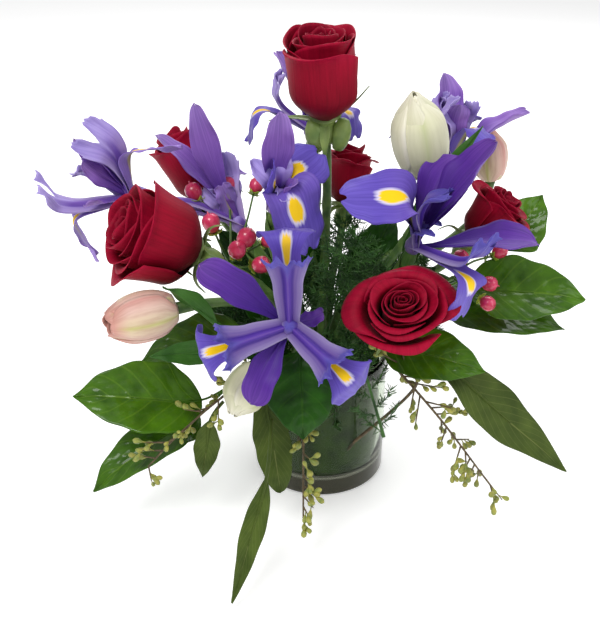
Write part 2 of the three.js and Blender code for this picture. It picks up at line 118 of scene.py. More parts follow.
def between(at: Array, places: Array, points: Array) -> Array:
    """Reads points between given ones.

    Args:
        at: Where to read.
        places: Where each given point is, rising.
        points: The given points, one to a row.

    Returns:
        A point for each place in at.
    """
    return np.stack([np.interp(at, places, points[:, k]) for k in range(3)], axis=1)


def gone_along(line: Array) -> Array:
    """How far along a line each of its points is."""
    return np.concatenate([[0], np.cumsum(np.linalg.norm(np.diff(line, axis=0), axis=1))])


@dataclass
class Stand:
    """Where a flower stands: the point at the end of its stem, and the turn from +Z to the way it faces.

    Attributes:
        base: The end of the stem, in mm.
        turn: The rotation that takes +Z to the flower's axis.
    """

    base: Array
    turn: Quaternion

    @classmethod
    def facing(cls, base: Array, aim: Array) -> Stand:
        """A stand at a point, with its axis along aim."""
        axis = Vector([float(a) for a in aim]).normalized()
        return cls(np.asarray(base, float), Vector((0, 0, 1)).rotation_difference(axis))

    def place(self, points: Array) -> Array:
        """Moves points from the flower's own axes to the frame's, in mm."""
        return points @ np.array(self.turn.to_matrix()).T + self.base

    def local(self, points: Array) -> Array:
        """Moves points from the frame's axes to the flower's own, in mm."""
        return (points - self.base) @ np.array(self.turn.to_matrix())


UPRIGHT = Stand.facing(np.zeros(3), np.array([0, 0, 1.0]))


# ---- Reading the frame ------------------------------------------------------------------------
VASE_HEIGHT = 102.0
NECK_HEIGHT = 106.0
FOOT_BELOW = 20.0
FINE_CUTS = 16


def corners_of(piece: Piece, length: float = MM) -> Array:
    """The corners of an object's mesh, in a unit of this length."""
    return np.array([v.co for v in piece.data.vertices], float) / length


def rings(node: Piece, size: int, first: Callable[[Array], int]) -> list[Array]:
    """Reads a swept solid of the frame as its rings of corners, from one end to the other.

    Args:
        node: The frame's object.
        size: How many corners each ring has.
        first: Picks a corner of the end ring from all the corners.

    Returns:
        The rings in order, each with its corners in mm.

    Raises:
        ValueError: The solid isn't made of rings of that size.
    """
    points, which = np.unique(np.round(corners_of(node), 2), axis=0, return_inverse=True)
    which = which.reshape(-1)
    near: list[set[int]] = [set() for _ in points]
    for edge in node.data.edges:
        a, b = (int(which[v]) for v in edge.vertices)
        near[a].add(b)
        near[b].add(a)
    start = points[first(points)]
    order = np.argsort(np.linalg.norm(points - start, axis=1))
    layer = {int(i) for i in order[:size]}
    seen = set(layer)
    found = [layer]
    while True:
        layer = {n for i in layer for n in near[i]} - seen
        if not layer:
            break
        seen |= layer
        found.append(layer)
    if any(len(layer) != size for layer in found):
        raise ValueError(f"{node.name} isn't made of rings of {size}: {[len(r) for r in found]}")
    return [points[sorted(layer)] for layer in found]


def lowest(points: Array) -> int:
    """The lowest point."""
    return int(np.argmin(points[:, 2]))


def farthest(points: Array) -> int:
    """The point farthest from the vase's mouth."""
    return int(np.argmax(np.linalg.norm(points - np.array([0, 0, VASE_HEIGHT]), axis=1)))


def across_of(ring: Array) -> tuple[Array, Array]:
    """The ring's widest direction and the direction square to the ring."""
    _, _, axes = np.linalg.svd(ring - ring.mean(axis=0))
    return axes[0], axes[2]


def smooth_line(points: Array, count: int) -> Array:
    """A smooth line through points, cut into equal lengths.

    Args:
        points: The points that the line passes through.
        count: How many points to return.

    Returns:
        Points evenly spaced along the line.
    """
    ends = np.vstack([2 * points[0] - points[1], points, 2 * points[-1] - points[-2]])
    fine = []
    for a, b, c, d in zip(ends, ends[1:], ends[2:], ends[3:]):
        t = np.linspace(0, 1, FINE_CUTS, endpoint=False)[:, None]
        square, cube = 2 * a - 5 * b + 4 * c - d, 3 * b - a - 3 * c + d
        fine.append(0.5 * (2 * b + (c - a) * t + square * t**2 + cube * t**3))
    line = np.vstack([*fine, points[-1:]])
    gone = gone_along(line)
    return between(np.linspace(0, gone[-1], count), gone, line)


# ---- Modelling ----------------------------------------------------------------------------------
IRIS_PETAL, ROSE_PETAL, TULIP_PETAL = 0.4, 0.5, 0.7
SHEATH_WALL, SEPAL, SMALL_SEPAL = 0.5, 0.5, 0.3
LEAF_BLADE, LINER_LEAF = 0.4, 0.5


def only(piece: Piece) -> None:
    """Leaves one object selected and active."""
    bpy.ops.object.select_all(action="DESELECT")
    piece.select_set(True)
    bpy.context.view_layer.objects.active = piece


def shaped(piece: Piece, points: Array, tone: float = 0.5) -> Piece:
    """Puts a mesh's corners at points in mm, and marks it with a tone that its material reads.

    Args:
        piece: The mesh's object.
        points: A point for each corner, in mm.
        tone: The tone, 0 to 1.

    Returns:
        The object.
    """
    piece.data.vertices.foreach_set("co", (points * MM).astype(np.float32).ravel())
    mark = piece.data.attributes.get("tone") or piece.data.attributes.new("tone", "FLOAT", "POINT")
    mark.data.foreach_set("value", np.full(len(points), tone, np.float32))
    piece.data.update()
    return piece


def painted(piece: Piece, finish: int) -> Piece:
    """Gives all of a piece's faces one of its materials.

    Args:
        piece: The piece.
        finish: Which of its materials.

    Returns:
        The piece.
    """
    for face in piece.data.polygons:
        face.material_index = finish
    return piece


def sheet(across: int, along: int, surface: Surface, tone: float = 0.5, finish: int = 0) -> Piece:
    """Adds a grid and lays it on a surface.

    Args:
        across: How many faces wide it is.
        along: How many faces long it is.
        surface: Gives points in mm from u across, -1 to 1, and v along, 0 to 1.
        tone: How light the sheet is among its neighbours, 0 to 1.
        finish: Which of the piece's materials it takes.

    Returns:
        The grid, at the origin, with its shape in its mesh.
    """
    bpy.ops.mesh.primitive_grid_add(x_subdivisions=across, y_subdivisions=along, size=2)
    piece = bpy.context.active_object
    flat = corners_of(piece, 1.0)
    return painted(shaped(piece, surface(flat[:, 0], (flat[:, 1] + 1) / 2), tone), finish)


def ball_places(piece: Piece, rings_above: int) -> tuple[Array, Array]:
    """Which ring of a ball each of its corners is on, counted from its lower pole, and the angle round it.

    Args:
        piece: The ball.
        rings_above: How many rings there are above the lower pole.

    Returns:
        The rings and the angles.
    """
    ball = corners_of(piece, 1.0)
    level = np.arccos(np.clip(-ball[:, 2], -1, 1)) / math.pi * rings_above
    return level, np.arctan2(ball[:, 1], ball[:, 0])


def turned(
    profile: Sequence[tuple[float, float]], sides: int, stand: Stand, tone: float = 0.5, finish: int = 0
) -> Piece:
    """Adds a solid of revolution.

    Args:
        profile: Its outline, as [radius, height] pairs from the axis to the axis.
        sides: How many sides it has.
        stand: Where it stands.
        tone: How light it is among its neighbours, 0 to 1.
        finish: Which of the piece's materials it takes.

    Returns:
        The solid.
    """
    bpy.ops.mesh.primitive_uv_sphere_add(segments=sides, ring_count=len(profile) - 1, radius=1)
    piece = bpy.context.active_object
    level, angle = ball_places(piece, len(profile) - 1)
    index = np.arange(len(profile))
    radii, heights = np.array(profile, float).T
    radius = np.interp(level, index, radii)
    points = stack(radius * np.cos(angle), radius * np.sin(angle), np.interp(level, index, heights))
    return painted(shaped(piece, stand.place(points), tone), finish)


def tube(line: Array, radii: Array, sides: int = 12, tone: float = 0.5, finish: int = 0) -> Piece:
    """Adds a closed round tube along a line.

    Args:
        line: The points along the tube's middle, in mm.
        radii: The tube's radius at each point.
        sides: How many sides it has.
        tone: How light it is among its neighbours.
        finish: Which of the piece's materials it takes.

    Returns:
        The tube.
    """
    count = len(line)
    bpy.ops.mesh.primitive_uv_sphere_add(segments=sides, ring_count=count + 1, radius=1)
    piece = bpy.context.active_object
    level, angle = ball_places(piece, count + 1)
    level = level - 1
    inside = np.clip(level, 0, count - 1)
    index = np.arange(count)
    tangents = units(np.gradient(line, axis=0))
    side = np.cross(tangents[0], [0.3, 0.9, 0.2])
    sides_along = []
    for tangent in tangents:
        side = unit(side - tangent * (side @ tangent))
        sides_along.append(side)
    across = between(inside, index, np.array(sides_along))
    other = np.cross(between(inside, index, tangents), across)
    radius = np.where((level < -0.5) | (level > count - 0.5), 0, np.interp(inside, index, radii))
    points = between(inside, index, line) + (np.cos(angle) * radius)[:, None] * across
    return painted(shaped(piece, points + (np.sin(angle) * radius)[:, None] * other, tone), finish)


def joined(name: str, pieces: Sequence[Piece], materials: Sequence[Skin]) -> Piece:
    """Joins pieces into one named object with these materials.

    Args:
        name: The object's name.
        pieces: The pieces.
        materials: The materials that their faces count in.

    Returns:
        The object.
    """
    for piece in pieces:
        for material in materials:
            piece.data.materials.append(material)
    if len(pieces) > 1:
        only(pieces[0])
        for piece in pieces:
            piece.select_set(True)
        bpy.ops.object.join()
    piece = bpy.context.view_layer.objects.active if len(pieces) > 1 else pieces[0]
    piece.name = name
    piece.data.name = name
    only(piece)
    bpy.ops.object.shade_smooth()
    return piece


def thickened(piece: Piece, thickness: float, under: int = 0) -> Piece:
    """Gives a joined set of sheets its thickness, and its under side the material under places further on.

    Args:
        piece: The sheets.
        thickness: How thick they are, in mm.
        under: How many materials further on the under side's is.

    Returns:
        The same object.
    """
    only(piece)
    wall = piece.modifiers.new("wall", "SOLIDIFY")
    wall.thickness = thickness * MM
    wall.offset = 0
    wall.material_offset = under
    bpy.ops.object.modifier_apply(modifier=wall.name)
    return piece


def repeated(original: Piece, stands: Sequence[tuple[Stand, float, float]], finish: int = 0) -> Piece:
    """Sets copies of one small piece on many stands, as one mesh in which each copy has its own tone.

    Args:
        original: The piece, made round the origin along +Z. It is removed.
        stands: For each copy its stand, its scale and its tone.
        finish: Which of the piece's materials it takes.

    Returns:
        The copies.
    """
    flat = corners_of(original)
    faces = [tuple(f.vertices) for f in original.data.polygons]
    points = np.vstack([stand.place(flat * scale) for stand, scale, _ in stands])
    every = [tuple(i + k * len(flat) for i in face) for k in range(len(stands)) for face in faces]
    mesh = bpy.data.meshes.new(original.name)
    mesh.from_pydata((points * MM).tolist(), [], every)
    bpy.data.objects.remove(original)
    piece = bpy.data.objects.new(mesh.name, mesh)
    bpy.context.collection.objects.link(piece)
    mark = mesh.attributes.new("tone", "FLOAT", "POINT")
    mark.data.foreach_set("value", np.repeat([tone for _, _, tone in stands], len(flat)).astype(np.float32))
    mesh.uv_layers.new(name="UVMap")
    return painted(piece, finish)


def dress(piece: Piece, slot: str, *nodes: str) -> None:
    """Puts a finished piece on the frame in place of its nodes.

    Args:
        piece: The piece.
        slot: A slot name for its material; it is not used.
        *nodes: The nodes that it replaces, if any.
    """
    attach(piece, "root")
    if nodes:
        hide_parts(*nodes)
    LOG.info("%s: %d faces for %s", piece.name, len(piece.data.polygons), ", ".join(nodes) or "no node")


# ---- Finishes -----------------------------------------------------------------------------------
def add_node(
    tree: Tree, kind: str, inputs: dict[Any, Link] | None = None, **settings: Any
) -> bpy.types.Node:
    """Adds a node with its settings, and sets or links its inputs.

    Args:
        tree: The material's node tree.
        kind: The node's type name without its "ShaderNode" start.
        inputs: Values or sockets for its inputs, by name or number.
        **settings: The node's own properties.

    Returns:
        The new node.
    """
    node = tree.nodes.new("ShaderNode" + kind)
    for key, value in settings.items():
        setattr(node, key, value)
    for key, value in (inputs or {}).items():
        if isinstance(value, bpy.types.NodeSocket):
            tree.links.new(value, node.inputs[key])
        else:
            node.inputs[key].default_value = value
    return node


def new_material(name: str) -> tuple[Skin, Tree]:
    """An empty material with nodes, and its tree.

    Args:
        name: The material's name.

    Returns:
        The material and its node tree.
    """
    material = bpy.data.materials.new(name)
    material.use_nodes = True
    material.node_tree.nodes.clear()
    return material, material.node_tree


def ramp(tree: Tree, factor: Link, stops: Sequence[tuple[float, str]]) -> Link:
    """Adds a colour band.

    Args:
        tree: The material's node tree.
        factor: The socket that picks a place on the band.
        stops: The band's places, 0 to 1, each with its hex colour.

    Returns:
        The band's colour socket.
    """
    node = add_node(tree, "ValToRGB", {"Fac": factor})
    band = node.color_ramp
    while len(band.elements) < len(stops):
        band.elements.new(0.5)
    for element, (place, text) in zip(band.elements, stops):
        element.position = place
        element.color = colour(text)
    return node.outputs["Color"]


def mapped(
    tree: Tree, value: Link, low: float, high: float, start: float = 0.0, end: float = 1.0, **settings: Any
) -> Link:
    """Rescales a number.

    Args:
        tree: The material's node tree.
        value: The number's socket.
        low: The number that becomes start.
        high: The number that becomes end.
        start: What low becomes.
        end: What high becomes.
        **settings: The node's own properties.

    Returns:
        The result's socket.
    """
    inputs = {"Value": value, "From Min": low, "From Max": high, "To Min": start, "To Max": end}
    return add_node(tree, "MapRange", inputs, **settings).outputs[0]


def maths(tree: Tree, operation: str, *values: Link) -> Link:
    """The socket of a sum of one kind on sockets and numbers."""
    return add_node(tree, "Math", dict(enumerate(values)), operation=operation).outputs[0]


def mixed(tree: Tree, factor: Link, under: Link, over: Link) -> Link:
    """Lays one colour over another.

    Args:
        tree: The material's node tree.
        factor: How much of the upper colour shows, 0 to 1.
        under: The lower colour, or its socket.
        over: The upper colour, or its socket.

    Returns:
        The mixed colour's socket.
    """
    return add_node(tree, "Mix", {0: factor, 6: under, 7: over}, data_type="RGBA").outputs[2]


def off_middle(tree: Tree, split: bpy.types.Node) -> Link:
    """How far a point of a sheet is from its middle line, 0 to 0.5."""
    return maths(tree, "ABSOLUTE", maths(tree, "SUBTRACT", split.outputs["X"], 0.5))


def toned(tree: Tree, base: Link, *span: float) -> Link:
    """Makes a colour darker or lighter by the tone that each piece carries: a random tone on some pieces, and
    painted light and shade on others, by where they sit.

    Args:
        tree: The material's node tree.
        base: The colour's socket.
        *span: A low and a high tone, and the lightness at each.

    Returns:
        The changed colour's socket.
    """
    tone = add_node(tree, "Attribute", attribute_name="tone")
    lift = mapped(tree, tone.outputs["Fac"], *span)
    return add_node(tree, "HueSaturation", {"Color": base, "Value": lift}).outputs[0]


def finish_with(tree: Tree, inputs: dict[str, Link]) -> None:
    """Ends a material in a Principled shader with these inputs."""
    shader = add_node(tree, "BsdfPrincipled", inputs)
    add_node(tree, "OutputMaterial", {"Surface": shader.outputs[0]})


@dataclass(frozen=True)
class PetalFinish:
    """Living petal: soft, slightly velvety tissue whose colour changes from claw to rim, with fine veins, and
    with painted shade on pieces of low tone.

    Attributes:
        name: The material's name.
        along: Colour stops from the petal's claw, 0, to its rim, 1.
        dark: The colour that the veins, and the painted shade on petals of low tone, turn to.
        veins: How many vein streaks cross the petal.
        vein_depth: How strongly the veins show, 0 to 1.
        roughness: The surface's roughness.
        sheen: The velvet's sheen.
        shine: The skin's specular level.
        signal: The signal patch as (place along, half length, half width), or None.
        across: Colour stops from the petal's middle, 0, to its edge, 1, laid over the claw, or None.
        across_to: The share of the length where those end.
    """

    name: str
    along: tuple[tuple[float, str], ...]
    dark: str
    veins: float = 30.0
    vein_depth: float = 0.25
    roughness: float = 0.5
    sheen: float = 0.1
    shine: float = 0.25
    signal: tuple[float, float, float] | None = None
    across: tuple[tuple[float, str], ...] | None = None
    across_to: float = 0.8

    def build(self) -> Skin:
        """Makes the material.

        Returns:
            The material.
        """
        material, tree = new_material(self.name)
        uv = add_node(tree, "UVMap", uv_map="UVMap")
        split = add_node(tree, "SeparateXYZ", {0: uv.outputs["UV"]})
        last = ramp(tree, split.outputs["Y"], self.along)
        if self.across:
            wide = maths(tree, "MULTIPLY", off_middle(tree, split), 2.0)
            mask = mapped(tree, split.outputs["Y"], self.across_to + 0.1, self.across_to - 0.1, 0.0, 0.9)
            last = mixed(tree, mask, last, ramp(tree, wide, self.across))
        stretch = add_node(tree, "Mapping", {"Vector": uv.outputs["UV"], "Scale": (self.veins, 1.6, 1.0)})
        grain = {"Vector": stretch.outputs[0], "Scale": 1.0, "Detail": 3.0, "Roughness": 0.6}
        streaks = add_node(tree, "TexNoise", grain).outputs["Fac"]
        last = mixed(tree, mapped(tree, streaks, 0.42, 0.68, 0.0, self.vein_depth), last, colour(self.dark))
        if self.signal:
            last = self.signalled(tree, split, streaks, last)
        # Painted shade: pieces whose tone is under 0.5, such as a rose's inner petals and a tulip's inner
        # tepals, are mixed towards the dark colour.
        tone = add_node(tree, "Attribute", attribute_name="tone")
        shade = mapped(tree, tone.outputs["Fac"], 0.0, 0.5, 0.8, 0.0)
        last = mixed(tree, shade, last, colour(self.dark))
        relief = add_node(tree, "Bump", {"Height": streaks, "Strength": 0.35, "Distance": 0.0006})
        finish_with(tree, {
            "Base Color": toned(tree, last, 0.5, 1.0, 1.0, 1.35), "Roughness": self.roughness,
            "Sheen Weight": self.sheen, "Sheen Roughness": 0.4, "Specular IOR Level": self.shine,
            "Normal": relief.outputs[0],
        })
        return material

    def signalled(self, tree: Tree, split: bpy.types.Node, ragged: Link, under: Link) -> Link:
        """Lays the yellow signal with its white border over the petal's colour.

        Args:
            tree: The material's node tree.
            split: The node that gives the place across and along the petal.
            ragged: The noise that makes the signal's edge uneven.
            under: The petal's colour.

        Returns:
            The colour's socket.
        """
        place, length, width = self.signal
        x = mapped(tree, split.outputs["X"], 0.5, 0.5 + width, clamp=False)
        y = mapped(tree, split.outputs["Y"], place, place + length, clamp=False)
        spot = add_node(tree, "CombineXYZ", {"X": x, "Y": y})
        far = add_node(tree, "VectorMath", {0: spot.outputs[0]}, operation="LENGTH")
        edge = maths(tree, "ADD", far.outputs["Value"], mapped(tree, ragged, 0.3, 0.7, -0.13, 0.13))
        pale = mixed(tree, mapped(tree, edge, 1.3, 1.0, 0.0, 0.75), under, colour("#e8e2f4"))
        return mixed(tree, mapped(tree, edge, 1.0, 0.82), pale, colour("#f7c90a"))


@dataclass(frozen=True)
class LeafFinish:
    """Living leaf: waxy skin over green tissue, with a pale midrib and side veins on its length and width.

    Attributes:
        name: The material's name.
        light: The blade's lighter green.
        dark: The blade's darker green.
        vein: The veins' colour.
        pairs: How many pairs of side veins it has, or 0 for veins along it.
        vein_show: How strongly the veins show, 0 to 1.
        roughness: The wax's roughness.
        coat: The wax's gloss over the skin.
    """

    name: str
    light: str
    dark: str
    vein: str
    pairs: float = 9.0
    vein_show: float = 0.5
    roughness: float = 0.35
    coat: float = 0.0

    def build(self) -> Skin:
        """Makes the material.

        Returns:
            The material.
        """
        material, tree = new_material(self.name)
        uv = add_node(tree, "UVMap", uv_map="UVMap")
        place = add_node(tree, "TexCoord")
        split = add_node(tree, "SeparateXYZ", {0: uv.outputs["UV"]})
        off = off_middle(tree, split)
        blotch = add_node(
            tree, "TexNoise", {"Vector": place.outputs["Object"], "Scale": 60.0, "Detail": 3.0}
        )
        body = ramp(tree, blotch.outputs["Fac"], ((0.35, self.dark), (0.68, self.light)))
        if self.pairs:
            slant = maths(tree, "MULTIPLY_ADD", off, -0.55, split.outputs["Y"])
            wave = maths(tree, "MULTIPLY", slant, self.pairs * 2 * math.pi)
            side = mapped(tree, maths(tree, "SINE", wave), 0.9, 1.0)
        else:
            stretch = add_node(tree, "Mapping", {"Vector": uv.outputs["UV"], "Scale": (26.0, 0.7, 1.0)})
            lines = add_node(tree, "TexNoise", {"Vector": stretch.outputs[0], "Scale": 1.0, "Detail": 2.0})
            side = mapped(tree, lines.outputs["Fac"], 0.5, 0.75)
        both = maths(tree, "MAXIMUM", maths(tree, "MULTIPLY", side, 0.45), mapped(tree, off, 0.028, 0.006))
        veined = mixed(tree, maths(tree, "MULTIPLY", both, self.vein_show), body, colour(self.vein))
        grain = add_node(
            tree, "TexNoise", {"Vector": place.outputs["Object"], "Scale": 420.0, "Detail": 2.0}
        )
        height = maths(tree, "MULTIPLY_ADD", both, -0.8, grain.outputs["Fac"])
        relief = add_node(tree, "Bump", {"Height": height, "Strength": 0.4, "Distance": 0.0005})
        finish_with(tree, {
            "Base Color": toned(tree, veined, 0.0, 1.0, 0.55, 1.45), "Roughness": self.roughness,
            "Coat Weight": self.coat, "Coat Roughness": 0.07, "Specular IOR Level": 0.15,
            "Normal": relief.outputs[0],
        })
        return material


@dataclass(frozen=True)
class SkinFinish:
    """Plain skin of a stem, pod, berry or calyx: an even colour with soft blotches.

    Attributes:
        name: The material's name.
        light: The lighter colour.
        dark: The darker colour.
        grain: How many blotches there are to a metre.
        roughness: The skin's roughness.
        coat: The gloss over it.
    """

    name: str
    light: str
    dark: str
    grain: float = 150.0
    roughness: float = 0.5
    coat: float = 0.0

    def build(self) -> Skin:
        """Makes the material.

        Returns:
            The material.
        """
        material, tree = new_material(self.name)
        place = add_node(tree, "TexCoord")
        blotch = add_node(
            tree, "TexNoise", {"Vector": place.outputs["Object"], "Scale": self.grain, "Detail": 4.0}
        )
        body = ramp(tree, blotch.outputs["Fac"], ((0.35, self.dark), (0.65, self.light)))
        relief = add_node(
            tree, "Bump", {"Height": blotch.outputs["Fac"], "Strength": 0.2, "Distance": 0.0004}
        )
        finish_with(tree, {
            "Base Color": toned(tree, body, 0.0, 1.0, 0.6, 1.4), "Roughness": self.roughness,
            "Coat Weight": self.coat, "Coat Roughness": 0.1, "Normal": relief.outputs[0],
        })
        return material


@dataclass(frozen=True)
class ClearFinish:
    """Clear soda-lime glass or water: see-through, with a faint tint, and a dark tint painted on its foot,
    partly the thick glass's own deeper tint and partly painted shade for the dark that the thick foot bends
    into view.

    Attributes:
        name: The material's name.
        tint: The colour of what passes through it.
        ior: Its index of refraction.
        glint: The colour of what it reflects face on.
        foot: The dark tint painted on its foot, partly its own and partly painted shade, or None.
        foot_height: How high the foot reaches, in mm.
    """

    name: str
    tint: str
    ior: float
    glint: str = "#8c9a80"
    foot: str | None = None
    foot_height: float = 15.0

    def build(self) -> Skin:
        """Makes the material.

        Returns:
            The material.
        """
        material, tree = new_material(self.name)
        inputs = {
            "Base Color": colour(self.tint), "Transmission Weight": 1.0, "IOR": self.ior, "Roughness": 0.0,
            "Specular Tint": colour(self.glint),
        }
        # Painted shade: below the foot's height the tint turns dark, standing in for the dark that the thick
        # foot bends into view, besides the thicker glass's own tint.
        if self.foot:
            place = add_node(tree, "TexCoord")
            split = add_node(tree, "SeparateXYZ", {0: place.outputs["Object"]})
            low, high = self.foot_height * MM, (self.foot_height + 2) * MM
            up = mapped(tree, split.outputs["Z"], low, high)
            inputs["Base Color"] = mixed(tree, up, colour(self.foot), colour(self.tint))
        finish_with(tree, inputs)
        return material


class Finish(Enum):
    """Every finish in the arrangement."""

    # Violet tissue with darker veins and a yellow signal: soft, with no gloss.
    FALL = PetalFinish(
        "iris_fall",
        ((0.0, "#5a3e98"), (0.3, "#7c62b8"), (0.5, "#6a52b4"), (0.7, "#604cb2"), (1.0, "#6856ba")),
        "#34227c", 26.0, 0.4, signal=(0.62, 0.13, 0.14))
    # The same, paler, for the lighter flowers.
    FALL_SOFT = PetalFinish(
        "iris_fall_soft", ((0.0, "#8068b4"), (0.3, "#9478c4"), (0.6, "#8464bc"), (1.0, "#9878c8")),
        "#4a3494", 26.0, 0.35, signal=(0.62, 0.13, 0.14))
    # A fall's underside: duller, with a yellow-green keel along its middle.
    FALL_UNDER = PetalFinish(
        "iris_fall_under",
        ((0.0, "#6c589c"), (0.45, "#6a56ac"), (1.0, "#5844a4")),
        "#3a2884", 26.0, 0.3, 0.55,
        across=((0.0, "#a8a250"), (0.22, "#948c5a"), (0.4, "#6c58ac"), (1.0, "#5c48a4")), across_to=0.72)
    # The paler falls' underside.
    UNDER_SOFT = PetalFinish(
        "iris_fall_under_soft",
        ((0.0, "#8c7ab8"), (0.45, "#8870c0"), (1.0, "#9a7cc8")),
        "#5c449c", 26.0, 0.3, 0.55,
        across=((0.0, "#b4ac5c"), (0.2, "#a49a70"), (0.36, "#8c74be"), (1.0, "#8a70c0")), across_to=0.72)
    # A style arm: a dark band each side of its keel and pale edges.
    STYLE = PetalFinish(
        "iris_style_arm",
        ((0.0, "#40207c"), (0.35, "#5c3f92"), (0.7, "#6052a8"), (1.0, "#5a52ac")),
        "#38228a", 16.0, 0.3,
        across=(
            (0.0, "#6c4ca0"), (0.1, "#54349a"), (0.26, "#3a1c80"), (0.44, "#705898"), (0.8, "#8878a8"),
            (1.0, "#9c90b6")
        ),
        across_to=0.76)
    # The paler flowers' style arms.
    STYLE_SOFT = PetalFinish(
        "iris_style_arm_soft",
        ((0.0, "#6a48a4"), (0.35, "#8064b4"), (0.7, "#9c88cc"), (1.0, "#b0a0dc")),
        "#58409c", 16.0, 0.3,
        across=((0.0, "#8c70b8"), (0.12, "#7450ac"), (0.3, "#6444a0"), (0.5, "#9880c0"), (1.0, "#b4a4d0")),
        across_to=0.7)
    # A standard: deep purple, darker towards its claw.
    STANDARD = PetalFinish(
        "iris_standard", ((0.0, "#2e1470"), (0.35, "#421e80"), (0.75, "#582c94"), (1.0, "#6c42a0")),
        "#220e5c", 22.0, 0.4)
    # The paler flowers' standards.
    STANDARD_PALE = PetalFinish(
        "iris_standard_pale", ((0.0, "#4e3090"), (0.35, "#6a46a4"), (0.75, "#8a62b6"), (1.0, "#9c7cc4")),
        "#40247c", 22.0, 0.4)
    # Red rose petal: velvet, near black at its claw and on the inner petals as painted shade for the folds deep
    # in the bloom, and lighter towards its rim.
    ROSE = PetalFinish(
        "rose_petal",
        ((0.0, "#4c000e"), (0.5, "#82041e"), (0.85, "#980628"), (1.0, "#a20a30")),
        "#2c000a", 40.0, 0.25, 0.55, 0.02, 0.1)
    # Cream tulip petal: satin, with a green flame up its middle.
    TULIP_WHITE = PetalFinish(
        "white_tulip_petal",
        ((0.0, "#94a260"), (0.2, "#c8cca0"), (0.6, "#e2e0c4"), (1.0, "#ece8d4")),
        "#b8b88e", 12.0, 0.3, 0.42,
        across=((0.0, "#c0c694"), (0.14, "#d2d2ae"), (0.8, "#e0dcc2"), (1.0, "#eae6d4")),
        across_to=0.85)
    # Blush tulip petal: satin, greenish at its foot and pink towards its edge.
    TULIP_PINK = PetalFinish(
        "pink_tulip_petal",
        ((0.0, "#a9b464"), (0.2, "#d0bc9c"), (0.6, "#d4ac9c"), (1.0, "#cc9488")),
        "#b07c70", 12.0, 0.45, 0.42,
        across=((0.0, "#c0c074"), (0.12, "#d8c8a4"), (0.5, "#dcbcae"), (0.85, "#d49c94"), (1.0, "#e0c8b8")),
        across_to=0.85)
    # Fresh stem: smooth green skin with a dull shine.
    STEM = SkinFinish("green_stem_skin", "#5f7f38", "#3a5c24", 120.0, 0.45)
    # Iris sheath: papery green with fine lines along it.
    SHEATH = LeafFinish("green_sheath", "#6c8c46", "#43692e", "#93ac6c", 0, 0.5, 0.45)
    # Rose calyx: pale matt green.
    CALYX = SkinFinish("rose_calyx", "#80944c", "#5c7636", 90.0, 0.45)
    # Eucalyptus twig: dry brown bark with no shine.
    WOODY = SkinFinish("brown_twig", "#6d5a3c", "#463a26", 300.0, 0.7)
    # Eucalyptus seed pod: yellow-green and matt.
    POD = SkinFinish("eucalyptus_pod", "#a5a048", "#71803a", 260.0, 0.5)
    # Hypericum sepal: fresh yellow-green.
    BUD = SkinFinish("green_bud", "#a9bf3e", "#7d9c2c", 260.0, 0.4)
    # Hypericum berry: glossy red skin with a sharp highlight.
    BERRY = SkinFinish("hypericum_berry", "#dc4068", "#bc2448", 120.0, 0.28, 0.4)
    # Lemon leaf: waxed skin that shines in broad patches, with paler veins.
    LEMON = LeafFinish("lemon_leaf_wax", "#4a7606", "#305604", "#789c2c", 6.0, 0.4, 0.42, 0.35)
    # A deeper green lemon leaf, less shiny; on the filler leaves its darkness is painted shade for the gaps
    # among the stems.
    LEMON_DEEP = LeafFinish("lemon_leaf_deep_wax", "#215204", "#123604", "#3e6c14", 5.0, 0.3, 0.48, 0.12)
    # Eucalyptus leaf: olive green and dull.
    EUCALYPTUS = LeafFinish("eucalyptus_leaf", "#4e5f24", "#384818", "#7e864c", 12.0, 0.5, 0.5)
    # Tulip leaf: mid green with lines along it.
    TULIP_LEAF = LeafFinish("tulip_leaf", "#42702a", "#2a521c", "#6c9450", 0, 0.35, 0.4)
    # The rolled leaf inside the glass: dark green, with ribs along it.
    LINER = LeafFinish("rolled_leaf_skin", "#42600e", "#1a3406", "#587424", 0, 0.5, 0.6, 0.0)
    # Asparagus fern: thin dark green needles.
    FERN = SkinFinish("asparagus_fern", "#3f6e28", "#1f4616", 100.0, 0.6)
    # Soda-lime glass: clear with a green tint, and a dark foot tint that is partly its own and partly painted
    # shade.
    GLASS = ClearFinish("soda_lime_glass", "#ccd8c4", 1.5, foot="#34322a")
    # Water: clear, and bending the light less than the glass does.
    WATER = ClearFinish("clear_water", "#d4e2d0", 1.33)

    def material(self) -> Skin:
        """The finish's material, made once."""
        return bpy.data.materials.get(self.value.name) or self.value.build()


# ---- Stems --------------------------------------------------------------------------------------
STEM_CORNERS = 6
BLADE_CORNERS = 6


def route_of(node: Piece) -> tuple[Array, Stand]:
    """Reads a stem's route, and the stand at its upper end.

    Args:
        node: The stem's solid.

    Returns:
        The points along it, and the stand.
    """
    found = rings(node, STEM_CORNERS, lowest)
    line = np.array([ring.mean(axis=0) for ring in found])
    _, aim = across_of(found[-1])
    if aim @ (line[-1] - line[-2]) < 0:
        aim = -aim
    return line, Stand.facing(line[-1], aim)


